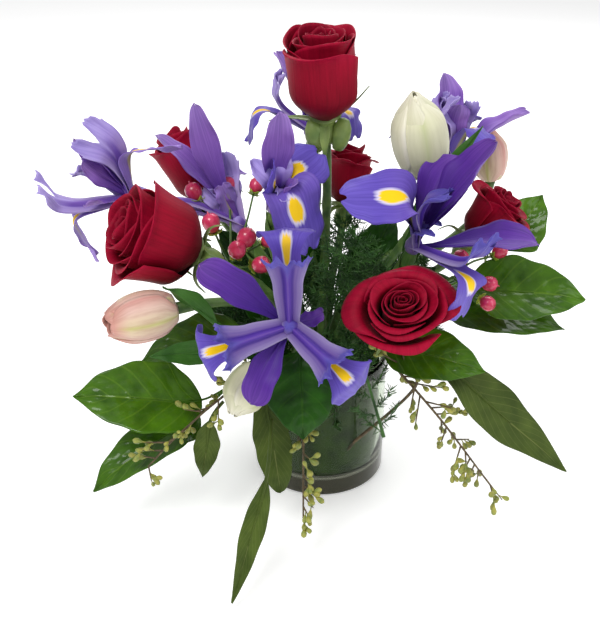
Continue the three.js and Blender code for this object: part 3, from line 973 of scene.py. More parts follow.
@dataclass
class Stem:
    """A flower's stem: a smooth round tube, slightly swollen below its flower.

    Attributes:
        flower: The flower's name in the frame.
        radius: The stem's radius.
        swell: How much thicker it is just below the flower.
        joints: How many leaf scars show along it.
        steps: How many rings it is made of.
    """

    flower: str
    radius: float = 3.0
    swell: float = 1.12
    joints: int = 0
    steps: int = 72

    def build(self, nodes: Nodes) -> Stand:
        """Makes the stem and returns the stand for its flower.

        Args:
            nodes: The frame's nodes by name.

        Returns:
            Where the flower stands.
        """
        name = f"{self.flower}_stem"
        line, stand = route_of(nodes[name])
        fine = smooth_line(line, self.steps)
        t = np.linspace(0, 1, self.steps)
        radii = self.radius * (1 + (self.swell - 1) * ease(t, 0.9, 1.0))
        for i in range(self.joints):
            radii = radii + 0.9 * bump(t, 0.35 + 0.5 * (i + 0.5) / self.joints, 0.008)
        piece = joined(f"{self.flower}_stalk", [tube(fine, radii, 14)], [Finish.STEM.material()])
        dress(piece, "green_stem", name)
        return stand


# ---- Irises -------------------------------------------------------------------------------------
HUB_HEIGHT = 9.0
FULL_GROWN = 60.0
BEND_FROM, BEND_TO = 0.38, 0.82
Petal = tuple[float, ...]


def bent_line(
    length: float, rise: float, bend: float, t: Array, span: tuple[float, float]
) -> tuple[Array, Array, Array]:
    """The middle line of an iris petal.

    Args:
        length: The petal's length.
        rise: Degrees above the flower's level where it starts.
        bend: Degrees that it bends down over its length.
        t: Shares of the length.
        span: The shares of the length between which it bends.

    Returns:
        How far out it is, how far up, and its angle, at each t.
    """
    steps = np.linspace(0, 1.1, 67)
    angle = np.radians(rise - bend * ease(steps, *span))
    middle = (angle[1:] + angle[:-1]) / 2
    pace = length * steps[1]
    out = np.concatenate([[0], np.cumsum(np.cos(middle))]) * pace
    up = np.concatenate([[0], np.cumsum(np.sin(middle))]) * pace
    return np.interp(t, steps, out), HUB_HEIGHT / 2 + np.interp(t, steps, up), np.interp(t, steps, angle)


def laid(
    petal: Petal, t: Array, side: Array, lift: Array, span: tuple[float, float] = (BEND_FROM, BEND_TO)
) -> Array:
    """Points on an iris petal.

    Args:
        petal: Its azimuth, length, rise, bend and, where it has one, its roll in degrees.
        t: Shares of the length.
        side: How far each point is to the side.
        lift: How far each point is above the petal's middle line.
        span: The shares of the length between which it bends.

    Returns:
        The points on the flower's own axes.
    """
    azimuth, length, rise, bend, *more = petal
    out, up, angle = bent_line(length, rise, bend, t, span)
    roll = math.radians(more[0] if more else 0.0) * ease(t, 0.25, 0.6)
    side, lift = side * np.cos(roll) - lift * np.sin(roll), side * np.sin(roll) + lift * np.cos(roll)
    a = math.radians(azimuth)
    radial = out - lift * np.sin(angle)
    return stack(
        radial * math.cos(a) + side * math.sin(a),
        radial * math.sin(a) - side * math.cos(a),
        up + lift * np.cos(angle),
    )


Look = tuple[Finish, Finish, Finish, Finish]
DEEP: Look = (Finish.FALL, Finish.FALL_UNDER, Finish.STYLE, Finish.STANDARD)
SOFT: Look = (Finish.FALL_SOFT, Finish.UNDER_SOFT, Finish.STYLE_SOFT, Finish.STANDARD_PALE)
MIXED: Look = (Finish.FALL, Finish.FALL_UNDER, Finish.STYLE_SOFT, Finish.STANDARD_PALE)


@dataclass
class Iris:
    """A Dutch iris: three falls, each under a forked style arm, three standards, an ovary and its sheath.

    Attributes:
        name: The flower's name in the frame.
        falls: Each fall's azimuth, length, rise, bend and roll.
        standards: The same for the standards.
        seed: Picks its ruffles.
        lobe: Half the width of a fall's blade.
        broad: Half the width of a standard.
        spans: For each fall, the shares of its length between which it bends.
        look: The finishes of its falls, their undersides, its style arms and its standards.
        arm: Its style arms' length as a share of the falls'.
        far_arm: The same share for its second fall, where that differs.
        sweep: Degrees that a style arm bends down over its length.
        sheath: How long its green sheath is.
    """

    name: str
    falls: tuple[Petal, ...]
    standards: tuple[Petal, ...]
    seed: int
    lobe: float = 16.5
    broad: float = 11.5
    spans: tuple[tuple[float, float], ...] = ((0.48, 0.8),) * 3
    look: Look = DEEP
    arm: float = 0.8
    far_arm: float = 0.0
    sweep: float = -34.0
    sheath: float = 62.0

    def fall(self, petal: Petal, span: tuple[float, float], phase: float) -> Piece:
        """One fall: a channelled claw that opens into a broad ruffled blade.

        Args:
            petal: Its azimuth, length, rise, bend and, where it has one, its roll in degrees.
            span: The shares of its length between which it bends.
            phase: Shifts its ruffles.

        Returns:
            The fall on the flower's own axes.
        """
        middle = (span[0] + span[1]) / 2
        lobe = self.lobe * min(1.0, petal[1] / FULL_GROWN)

        def surface(u: Array, v: Array) -> Array:
            """Points on the fall, from u across it and v along it."""
            t = v * (1 - 0.05 * bump(u, 0, 0.3))
            claw = 3.8 + 4.6 * ease(t, 0.0, 0.4)
            far = (t - (middle + 0.12)) / (1.02 - middle - 0.12)
            blade = lobe * np.sqrt(np.clip(1 - np.clip(far, -0.6, 1) ** 2, 0, 1))
            half = claw + (blade - claw) * ease(t, middle - 0.14, middle + 0.04)
            uneven = 0.9 * np.sin(19 * t + phase) + 0.5 * np.sin(41 * t + 2 * phase)
            half = half + uneven * ease(t, middle, 0.95) + 0.3
            waves = 2.2 * np.sin(13 * t + 2.2 * u + phase) + 0.9 * np.sin(31 * t - 3 * u + phase)
            ruffle = waves * np.abs(u) ** 2.4
            channel = 0.42 * half * u**2 * (1 - ease(t, 0.4, 0.65)) - 0.2 * half * u**2 * ease(t, 0.6, 0.85)
            ridge = 0.9 * bump(u, 0, 0.16) * bump(t, middle, 0.22)
            return laid(petal, t, u * half, channel + ruffle * ease(t, middle - 0.1, 0.8) + ridge, span)

        return sheet(22, 46, surface, 0.5, 0)

    def style(self, petal: Petal, share: float, phase: float) -> Piece:
        """One style arm: broad and keeled over its fall's claw, and split at its end into two toothed crests.

        Args:
            petal: Its fall's azimuth, length, rise, bend and roll.
            share: Its length as a share of the fall's.
            phase: Shifts its ruffles.

        Returns:
            The style arm on the flower's own axes.
        """
        azimuth, length, rise, _, *more = petal
        arm = (azimuth, share * length, rise + 8, self.sweep, *more)

        def surface(u: Array, v: Array) -> Array:
            """Points on the style arm, from u across it and v along it."""
            side = np.sign(u)
            t = v * (1 - 0.22 * bump(u, 0, 0.12) - 0.12 * ease(np.abs(u), 0.7, 1))
            t = t + 0.014 * np.sin(31 * u + phase) * ease(v, 0.85, 1)
            half = 6.4 + 3.0 * ease(t, 0, 0.45) + 4.4 * ease(t, 0.45, 0.8)
            flare = ease(t, 0.7, 1.0)
            width = side * (half * np.abs(u) * (1 + 0.06 * flare) + 2.2 * flare)
            keel = 2.2 * bump(u, 0, 0.26) - 0.13 * half * u**2 - 0.6 * bump(np.abs(u), 0.3, 0.12)
            crest = 11.0 * flare * (1 - 0.6 * np.abs(np.abs(u) - 0.5) * 2)
            waves = 1.5 * np.sin(7 * u + 16 * t + phase) + 0.7 * np.sin(19 * u + phase)
            ruffle = waves * ease(t, 0.68, 0.95)
            return laid(arm, t, width, 2.6 + keel * (1 - flare) + crest + ruffle)

        return sheet(24, 36, surface, 0.5, 2)

    def standard(self, petal: Petal, phase: float) -> Piece:
        """One standard: narrow at its claw, broad above, with wavy edges and a round tip.

        Args:
            petal: Its azimuth, length, rise, bend and, where it has one, its roll in degrees.
            phase: Shifts its ruffles.

        Returns:
            The standard on the flower's own axes.
        """
        broad = self.broad * min(1.0, petal[1] / FULL_GROWN)

        def surface(u: Array, v: Array) -> Array:
            """Points on the standard, from u across it and v along it."""
            t = v * (1 + 0.012 * np.sin(9 * u + phase))
            half = 2.8 + (broad - 2.8) * ease(t, 0.1, 0.66)
            end = np.clip((t - 0.6) / 0.4, 0, 1)
            half = half * (1 - end**3) ** 0.45 + 0.9 * np.sin(15 * t + phase) * ease(t, 0.3, 0.7)
            half = np.maximum(half, 0.3)
            waves = 2.0 * np.sin(10 * t + phase + 1.5 * u) + 0.8 * np.sin(27 * t + phase)
            wave = waves * np.abs(u) ** 1.6
            cup = 0.42 * half * u**2 + 0.9 * bump(u, 0, 0.14) * (1 - ease(t, 0.5, 0.9))
            sway = 2.4 * np.sin(3.2 * t + phase) * t
            return laid(petal, t, u * half + sway, cup + wave * ease(t, 0.25, 0.8))

        return sheet(18, 38, surface, 0.5, 4)

    def build(self, nodes: Nodes) -> None:
        """Makes the stem, the petals and the green parts.

        Args:
            nodes: The frame's nodes by name.
        """
        rng = np.random.default_rng(self.seed)
        line, _ = route_of(nodes[f"{self.name}_stem"])
        stand = Stem(self.name, 3.4, 1.25).build(nodes)
        pieces = []
        shares = (self.arm, self.far_arm or self.arm, self.arm)
        for fall, span, share in zip(self.falls, self.spans, shares):
            pieces.append(self.fall(fall, span, rng.uniform(0, 6)))
            pieces.append(self.style(fall, share, rng.uniform(0, 6)))
        for petal in self.standards:
            pieces.append(self.standard(petal, rng.uniform(0, 6)))
        for piece in pieces:
            tone = float(np.clip(rng.normal(0.55, 0.06), 0.35, 0.8))
            shaped(piece, stand.place(corners_of(piece)), tone)
        heart = [(0, 1), (4.2, 1.5), (5.6, 4), (6.0, 7), (5.0, 10), (3.0, 12.5), (0, 13.5)]
        pieces.append(turned(heart, 16, stand, 0.45, 2))
        fall, under, style, standard = self.look
        skins = [fall, under, style, style, standard, standard]
        bloom = joined(f"{self.name}_petals", pieces, [skin.material() for skin in skins])
        thickened(bloom, IRIS_PETAL, 1)
        dress(bloom, "iris_petals", f"{self.name}_bloom")
        fine = smooth_line(line, 80)
        swelling = [(0, -16), (3.6, -15), (5.0, -9), (5.2, -4), (4.4, 1), (3.2, 3.4), (0, 4)]
        ovary = turned(swelling, 14, stand)
        valves = [ovary, self.valve(fine, 0.0, rng), self.valve(fine, math.pi, rng)]
        green = joined(f"{self.name}_sheath", valves, [Finish.SHEATH.material()])
        dress(green, "green_stem")

    def valve(self, line: Array, turn: float, rng: np.random.Generator) -> Piece:
        """One valve of the papery green sheath, wrapped half round the stem and pointed at its top.

        Args:
            line: The stem's line.
            turn: The side of the stem that it is on, in radians.
            rng: Picks its height.

        Returns:
            The valve.
        """
        gone = gone_along(line)
        top = gone[-1] + rng.uniform(-6, 6)
        bottom = max(gone[-1] - self.sheath, 0)
        tangent = unit(line[-1] - line[-2])
        side = unit(np.cross(tangent, [0, 1, 0.2]))
        other = np.cross(tangent, side)

        def surface(u: Array, v: Array) -> Array:
            """Points on the valve, from u across it and v along it."""
            at = bottom + (top - bottom) * v
            inside = np.minimum(at, gone[-1])
            middle = between(inside, gone, line) + (at - inside)[:, None] * tangent
            spread = turn + u * 1.75 * (1 - ease(v, 0.55, 1.0))
            radius = 4.0 + 2.6 * np.sin(math.pi * np.clip(v, 0, 1)) ** 0.8 + 1.5 * ease(v, 0.8, 1)
            points = middle + (radius * np.cos(spread))[:, None] * side
            return points + (radius * np.sin(spread))[:, None] * other

        return thickened(sheet(10, 18, surface, 0.55), SHEATH_WALL)


# ---- Roses --------------------------------------------------------------------------------------
GOLDEN_ANGLE = 137.5


@dataclass
class Rose:
    """A rose: petals wrapped round each other on a spiral, the outer ones rolled back, on a green calyx.

    Attributes:
        name: The flower's name in the frame.
        petals: How many petals it has.
        openness: From 0, a tight bud, to 1, open.
        turn: The azimuth of its outermost petal, in degrees.
        seed: Picks its irregularities.
        sepals: Each sepal's azimuth, length, rise and bend.
        calyx: The calyx's radius.
        oval: How much the bloom is pressed together across, as a share.
        full: How much the bloom is fuller than its node.
        hips: How many of its sepals hang rolled into plump lobes under the bloom.
    """

    name: str
    petals: int
    openness: float
    turn: float
    seed: int
    sepals: tuple[Petal, ...] = (
        (20, 24, 10, 70), (92, 22, -10, 60), (164, 24, 5, 70), (236, 24, -5, 60), (308, 22, 10, 70)
    )
    calyx: float = 7.5
    oval: float = 1.0
    full: float = 1.0
    hips: int = 0

    def petal(
        self, share: float, azimuth: float, radius: float, length: float, rng: np.random.Generator
    ) -> Piece:
        """One petal.

        Args:
            share: 0 for the heart's petal, 1 for the outermost.
            azimuth: Where its middle is, in radians.
            radius: The bloom's radius.
            length: The bloom's length.
            rng: Picks its irregularities.

        Returns:
            The petal on the flower's own axes.
        """
        opened = self.openness
        spiral = 0.05 + (0.86 - 0.3 * opened) * share ** (0.85 + 0.25 * opened)
        reach = radius * spiral * rng.uniform(1 - 0.05 * opened, 1.0)
        tall = 0.9 + 0.08 * math.sin(math.pi * share) - 0.3 * opened * share**2
        top = length * tall * rng.uniform(0.95, 1.04)
        fallen = opened * ease(np.array(share), 0.15, 0.9) * rng.uniform(0.75, 1.0)
        lean = -0.34 * (1 - share) + 0.02 * share + fallen
        roll = 0.5 + (1.0 + 1.1 * opened) * share
        curl = 2.0 + 3.0 * share
        wrap = math.radians(165 - 92 * share)
        phase, tip = rng.uniform(0, 6), rng.uniform(0.02, 0.05 + 0.06 * opened)
        twist = rng.uniform(-0.4, 0.4)

        def surface(u: Array, v: Array) -> Array:
            """Points on the petal, from u across it and v along it."""
            s = v * (1 - 0.15 * np.abs(u) ** 2.6 + tip * bump(u, twist, 0.28))
            spread = wrap * (0.42 + 0.58 * np.sin(math.pi / 2 * np.clip(s / 0.45, 0, 1)))
            angle = azimuth + u * spread
            bowl = 0.2 + 0.8 * np.sin(math.pi / 2 * np.clip(s / 0.4, 0, 1))
            out = reach * bowl * (1 + lean * np.clip(s - 0.4, 0, 1)) * (1 + 0.1 * u)
            up = 1 + (top - 1) * s
            bent = ease(s, 0.82, 1.06) * roll * (1 + 0.35 * np.sin(2.3 * u + phase))
            flick = 0.5 * curl * ease(np.abs(u), 0.7, 1) * ease(s, 0.5, 1) * share
            out = out + curl * (1 - np.cos(bent)) + flick
            up = up + curl * (np.sin(bent) - bent)
            depth = 0.3 + (0.7 + 1.9 * opened) * share
            out = out + depth * np.sin(2 * angle + self.seed + 3 * s) * ease(s, 0.45, 1)
            return stack(out * np.cos(angle), out * np.sin(angle) * self.oval, up)

        return sheet(26, 24, surface)

    def build(self, nodes: Nodes) -> None:
        """Makes the stem, the bloom and the calyx.

        Args:
            nodes: The frame's nodes by name.
        """
        rng = np.random.default_rng(self.seed)
        stand = Stem(self.name, 3.1, 1.2, 3).build(nodes)
        solid = stand.local(corners_of(nodes[f"{self.name}_bloom"]))
        length = float(solid[:, 2].max())
        radius = self.full * float(np.hypot(solid[:, 0], solid[:, 1]).max())
        pieces = []
        for i in range(self.petals):
            share = i / (self.petals - 1)
            azimuth = math.radians(self.turn + GOLDEN_ANGLE * (self.petals - 1 - i))
            piece = self.petal(share, azimuth, radius, length, rng)
            # Painted light and shade: each petal's tone rises from the heart outwards, so the inner petals are
            # darkened and the outer ones lightened.
            tone = float(np.clip(0.26 + 0.36 * share + rng.normal(0, 0.03), 0.1, 0.9))
            pieces.append(shaped(piece, stand.place(corners_of(piece)), tone))
        bloom = joined(f"{self.name}_petals", pieces, [Finish.ROSE.material()])
        thickened(bloom, ROSE_PETAL)
        dress(bloom, "rose_petals", f"{self.name}_bloom")
        c = self.calyx
        cup = [
            (0, -19), (0.45 * c, -18), (0.9 * c, -13), (c, -8), (0.85 * c, -3), (c, 0), (1.5 * c, 3), (0, 5)
        ]
        green = [turned(cup, 20, stand)]
        for sepal in self.sepals:
            green.append(self.sepal(sepal, stand, rng))
        lobe = [(0, 0), (3.6, 1.5), (6.0, 7), (6.8, 12), (6.2, 18), (4.0, 23), (0, 25)]
        for i in range(self.hips):
            side = 8.5 * (2 * i - 1)
            foot = stand.place(np.array([[side * 0.8, -4, -22]]))[0]
            green.append(turned(lobe, 16, Stand.facing(foot, np.array([side * 0.02, -0.1, 1])), 0.6))
        calyx = joined(f"{self.name}_calyx", green, [Finish.CALYX.material()])
        dress(calyx, "green_stem")

    def sepal(self, petal: Petal, stand: Stand, rng: np.random.Generator) -> Piece:
        """One sepal: a narrow pointed tongue from the top of the calyx.

        Args:
            petal: Its azimuth, length, rise and bend.
            stand: Where the flower stands.
            rng: Picks its tone.

        Returns:
            The sepal.
        """
        azimuth, length, rise, bend = petal
        a = math.radians(azimuth)

        def surface(u: Array, v: Array) -> Array:
            """Points on the sepal, from u across it and v along it."""
            half = 4.2 * (1 - v) ** 0.7 * (0.55 + 0.45 * np.sin(math.pi * np.clip(v * 1.6, 0, 1))) + 0.25
            points = laid((azimuth, length, rise, bend), v, u * half, 0.3 * half * u**2)
            out = 0.7 * self.calyx
            return stand.place(points + np.array([out * math.cos(a), out * math.sin(a), -5.0]))

        return thickened(sheet(8, 16, surface, float(rng.uniform(0.4, 0.6))), SEPAL)


# ---- Tulips -------------------------------------------------------------------------------------
@dataclass
class Tulip:
    """A tulip: three outer tepals over three inner ones, closed like an egg.

    Attributes:
        name: The flower's name in the frame.
        finish: Its petals' finish.
        slot: The slot name for its petals, handed to dress.
        turn: The azimuth of its first outer tepal, in degrees.
        seed: Picks its irregularities.
        gape: How far its tips stand apart, 0 to 1.
    """

    name: str
    finish: Finish
    slot: str
    turn: float
    seed: int
    gape: float = 0.2

    def build(self, nodes: Nodes) -> None:
        """Makes the stem and the bloom.

        Args:
            nodes: The frame's nodes by name.
        """
        rng = np.random.default_rng(self.seed)
        stand = Stem(self.name, 3.2, 1.3).build(nodes)
        solid = stand.local(corners_of(nodes[f"{self.name}_bloom"]))
        length, radius = float(solid[:, 2].max()), float(np.hypot(solid[:, 0], solid[:, 1]).max())
        pieces = []
        for i in range(6):
            inner = i < 3
            azimuth = math.radians(self.turn + 120 * i + (60 if inner else 0))
            wide, tall = (0.9, 1.0) if inner else (1.0, 0.97)
            pieces.append(self.tepal(azimuth, radius * wide, length * tall, stand, rng, inner))
        bloom = joined(f"{self.name}_petals", pieces, [self.finish.material()])
        thickened(bloom, TULIP_PETAL)
        dress(bloom, self.slot, f"{self.name}_bloom")

    def tepal(
        self, azimuth: float, radius: float, length: float, stand: Stand, rng: np.random.Generator,
        inner: bool
    ) -> Piece:
        """One tepal, pointed at its tip and cupped round the flower.

        Args:
            azimuth: Where its middle is, in radians.
            radius: The bloom's radius there.
            length: The tepal's length.
            stand: Where the flower stands.
            rng: Picks its irregularities.
            inner: Whether it is one of the inner three.

        Returns:
            The tepal.
        """
        phase = rng.uniform(0, 6)
        lean = rng.uniform(-0.03, 0.03)

        def surface(u: Array, v: Array) -> Array:
            """Points on the tepal, from u across it and v along it."""
            s = v * (1 - 0.12 * np.abs(u) ** 2.0)
            body = np.sin(math.pi * np.clip(0.12 + 0.78 * s**0.95, 0, 1)) ** 0.5
            close = 1 - (0.86 - 0.5 * self.gape) * ease(s, 0.62, 1.06) ** 1.4
            ruffle = 0.4 * np.sin(4 * u + phase) * ease(s, 0.4, 0.9)
            out = radius * body * close * (1 + 0.05 * u - 0.06 * u**4) + ruffle
            out = out - 0.5 * bump(u, 0, 0.12) * ease(s, 0.1, 0.5)
            narrowing = 1 - 0.2 * ease(s, 0.7, 1.0) ** 1.4
            spread = math.radians(76) * (0.5 + 0.5 * ease(s, 0, 0.25)) * narrowing
            angle = azimuth + lean + u * spread
            return stand.place(stack(out * np.cos(angle), out * np.sin(angle), 1 + (length - 1) * s))

        # The inner tepals take a lower tone than the outer ones: painted shade for their place inside the
        # bloom.
        return sheet(18, 26, surface, 0.45 if inner else 0.55)


# ---- Blades -------------------------------------------------------------------------------------
BLADE_STEPS = 120
STALK_HALF = 2.2
FREE_BLADE_START = 0.35


@dataclass
class BladeLine:
    """A leaf's line read from the frame: its middle, its side and its face, from its foot to its tip.

    Attributes:
        middle: Points along the middle.
        side: The direction across the blade at each point.
        width: Half the solid's width at each point.
    """

    middle: Array
    side: Array
    width: Array

    @classmethod
    def read(cls, node: Piece, count: int = BLADE_STEPS) -> BladeLine:
        """Reads a blade solid of the frame.

        Args:
            node: The blade's solid.
            count: How many points to read.

        Returns:
            The blade's line.
        """
        found = rings(node, BLADE_CORNERS, farthest)[::-1]
        centres = np.array([ring.mean(axis=0) for ring in found])
        sides, widths = [], []
        last = None
        for ring in found:
            side, _ = across_of(ring)
            if last is not None and side @ last < 0:
                side = -side
            last = side
            sides.append(side)
            widths.append(np.ptp((ring - ring.mean(axis=0)) @ side) / 2)
        gone = gone_along(centres)
        wanted = np.linspace(0, gone[-1], count)
        # A stalk is nearly round, so its side is the one that the blade starts with.
        first = int(np.argmax(widths)) - 2
        steady = np.array([sides[min(max(i, first), len(sides) - 2)] for i in range(len(sides))])
        middle = smooth_line(centres, count)
        return cls(middle, between(wanted, gone, steady), np.interp(wanted, gone, widths))

    def blade_start(self) -> float:
        """The share of the length where the stem turns into the blade.

        Returns:
            The share, 0 to 1.
        """
        wide = int(np.argmax(self.width))
        narrow = [i for i in range(wide) if self.width[i] <= STALK_HALF]
        return (narrow[-1] if narrow else 0) / (len(self.width) - 1)

    def frame_at(self, t: Array) -> tuple[Array, Array, Array]:
        """The middle, side and face at shares of the length.

        Args:
            t: The shares, 0 to 1.

        Returns:
            The three as rows of points and directions.
        """
        index = np.linspace(0, 1, len(self.middle))
        middle = between(t, index, self.middle)
        tangent = units(between(t, index, np.gradient(self.middle, axis=0)))
        side = between(t, index, self.side)
        side = units(side - tangent * np.sum(side * tangent, axis=1)[:, None])
        face = np.cross(side, tangent)
        if face[:, 2].sum() < 0:
            side, face = -side, -face
        return middle, side, face


class LeafShape(Enum):
    """The outlines of the arrangement's leaves."""

    BROAD = "broad"
    LANCE = "lance"
    STRAP = "strap"


@dataclass
class Leaf:
    """A leaf on its stalk, laid along its node's line.

    Attributes:
        name: The leaf's node in the frame.
        finish: Its skin.
        slot: The slot name for it, handed to dress.
        shape: Its outline.
        half: Half its greatest width.
        fold: How much it folds up along its midrib.
        wave: How wavy its edges are, in mm.
        droop: How much its tip curls down, in mm.
        seed: Picks its irregularities.
        tone: How light it is, as painted light and shade for where it sits.
        stalk: Its stalk's radius.
        route: The line of a leaf that has no node of its own, in mm.
        facing: The way that such a leaf's upper side looks.
    """

    name: str
    finish: Finish
    slot: str
    shape: LeafShape
    half: float
    fold: float = 0.12
    wave: float = 1.2
    droop: float = 3.0
    seed: int = 0
    tone: float = 0.5
    stalk: float = 1.3
    route: tuple[Point, ...] = ()
    facing: Point = (0.0, -0.5, 0.85)

    def outline(self, t: Array) -> Array:
        """Half the blade's width at shares of its length.

        Args:
            t: The shares, 0 to 1.

        Returns:
            The half widths, in mm.
        """
        if self.shape is LeafShape.BROAD:
            body = np.sin(math.pi * np.clip(t, 0, 1) ** 0.72) ** 0.78
            return self.half * body * (1 - 0.35 * ease(t, 0.82, 1.0)) + 0.15
        if self.shape is LeafShape.LANCE:
            return self.half * np.sin(math.pi * np.clip(t, 0, 1) ** 0.8) ** 0.95 + 0.15
        return self.half * np.clip(np.sin(math.pi * np.clip(t, 0, 1) ** 0.9), 0, 1) ** 0.5 + 0.15

    def build(self, nodes: Nodes) -> None:
        """Makes the leaf and its stalk.

        Args:
            nodes: The frame's nodes by name.
        """
        rng = np.random.default_rng(self.seed)
        if self.route:
            middle = smooth_line(np.array(self.route), BLADE_STEPS)
            side = np.cross(np.gradient(middle, axis=0), np.array(self.facing))
            line = BladeLine(middle, side, np.ones(BLADE_STEPS))
            start = FREE_BLADE_START
        else:
            line = BladeLine.read(nodes[self.name])
            start = line.blade_start()
        phase = rng.uniform(0, 6)

        def surface(u: Array, v: Array) -> Array:
            """Points on the blade, from u across it and v along it."""
            t = start + (1 - start) * v
            middle, side, face = line.frame_at(t)
            half = self.outline(v) * (1 + 0.03 * np.sin(23 * v + phase + 2 * np.sign(u)))
            lift = self.fold * half * np.abs(u) ** 1.3 * 2 - 0.5 * bump(u, 0, 0.05)
            lift = lift + self.wave * np.sin(9 * v + phase + 1.2 * np.sign(u)) * np.abs(u) ** 2
            lift = lift - self.droop * ease(v, 0.7, 1.0) ** 2
            if self.shape is LeafShape.BROAD:
                pillows = np.abs(np.sin((v - 0.28 * np.abs(u)) * 7 * math.pi)) ** 0.6
                lift = lift + 0.6 * pillows * np.sin(math.pi * np.abs(u)) ** 0.6
                buckles = 0.35 * np.sin(31 * v + 9 * u + phase) * np.sin(13 * u - 17 * v)
                lift = lift + buckles * (1 - np.abs(u))
            return middle + (u * half)[:, None] * side + lift[:, None] * face

        blade = thickened(sheet(30, 84, surface, self.tone), LEAF_BLADE)
        middle, _, _ = line.frame_at(np.linspace(0, start + (1 - start) * 0.55, 50))
        t = np.linspace(0, 1, 50)
        stalk = tube(middle, self.stalk * (1 - 0.7 * ease(t, 0.5, 1.0)), 8, self.tone)
        piece = joined(f"{self.name}_blade", [blade, stalk], [self.finish.material()])
        dress(piece, self.slot, *(() if self.route else (self.name,)))


LEMON_LEAF = (Finish.LEMON, "lemon_leaf", LeafShape.BROAD)
DEEP_LEMON_LEAF = (Finish.LEMON_DEEP, "lemon_leaf", LeafShape.BROAD)
GUM_LEAF = (Finish.EUCALYPTUS, "eucalyptus", LeafShape.LANCE)
TULIP_LEAF = (Finish.TULIP_LEAF, "green_stem", LeafShape.LANCE)


def filler(number: int, half: float, *route: Point, facing: Point = (0.0, -0.5, 0.85)) -> Leaf:
    """A deep green leaf that closes the gaps among the stems, dark as painted shade for those gaps.

    Args:
        number: Its number, which also picks its irregularities.
        half: Half its greatest width.
        *route: Its line, in mm.
        facing: The way that its upper side looks.

    Returns:
        The leaf.
    """
    name = f"lemon_leaf_filler_{number}"
    # Its deep finish and low tone are painted shade for the gaps among the stems.
    return Leaf(name, *DEEP_LEMON_LEAF, half, seed=100 + number, tone=0.35, route=route, facing=facing)


# ---- Sprigs -------------------------------------------------------------------------------------
SPRIG_STEPS = 90
TWIG_STEPS = 50
SPRAY_STEPS = 100
FREE_SPRAY_START = 0.3


@dataclass
class SeededSprig:
    """A sprig of seeded eucalyptus: club-shaped pods in small bunches on a brown stem.

    Attributes:
        name: The sprig's node in the frame.
        through: Points that its stem passes through above the neck.
        pods: How many bunches it has.
        seed: Picks their places.
        spread: How long its side twigs are.
    """

    name: str
    through: tuple[Point, ...]
    pods: int
    seed: int
    spread: float = 13.0

    def build(self, nodes: Nodes) -> None:
        """Makes the sprig.

        Args:
            nodes: The frame's nodes by name.
        """
        rng = np.random.default_rng(self.seed)
        low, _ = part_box(self.name)
        corners = corners_of(nodes[self.name])
        inside = corners[corners[:, 2] < FOOT_BELOW]
        foot = inside.mean(axis=0) if len(inside) else np.array(low) / MM
        neck = corners[np.abs(corners[:, 2] - NECK_HEIGHT) < 4]
        neck = neck[np.argmin(np.hypot(neck[:, 0], neck[:, 1]))] if len(neck) else np.array(self.through[0])
        line = smooth_line(np.vstack([foot, neck, np.array(self.through)]), SPRIG_STEPS)
        t = np.linspace(0, 1, SPRIG_STEPS)
        pieces = [tube(line, 1.5 - 0.9 * t, 8, 0.5, 1)]
        stands: list[tuple[Stand, float, float]] = []
        for i in range(self.pods):
            at = int(np.interp(i, [0, self.pods - 1], [46, SPRIG_STEPS - 1]))
            tangent = unit(line[min(at + 1, SPRIG_STEPS - 1)] - line[at - 1])
            side = unit(np.cross(tangent, rng.normal(size=3)))
            tip = line[at] + (side + 0.8 * tangent) * self.spread * rng.uniform(0.5, 1.0)
            twig = np.linspace(line[at], tip, 6)
            pieces.append(tube(twig, np.linspace(0.7, 0.4, 6), 5, 0.5, 1))
            for k in range(int(rng.integers(3, 6))):
                start = twig[min(5, 2 + k)]
                aim = side + 0.7 * tangent + rng.normal(size=3) * 0.6
                stands.append((Stand.facing(start, aim), rng.uniform(0.75, 1.15), rng.uniform(0.3, 0.8)))
        pod = [(0, 0), (0.35, 0.1), (0.4, 2.6), (1.2, 4.2), (1.9, 6.2), (1.7, 8.0), (0.6, 9.0), (0, 9.2)]
        pieces.append(repeated(turned(pod, 8, UPRIGHT), stands))
        piece = joined(f"{self.name}_pods", pieces, [Finish.POD.material(), Finish.WOODY.material()])
        dress(piece, "eucalyptus", self.name)


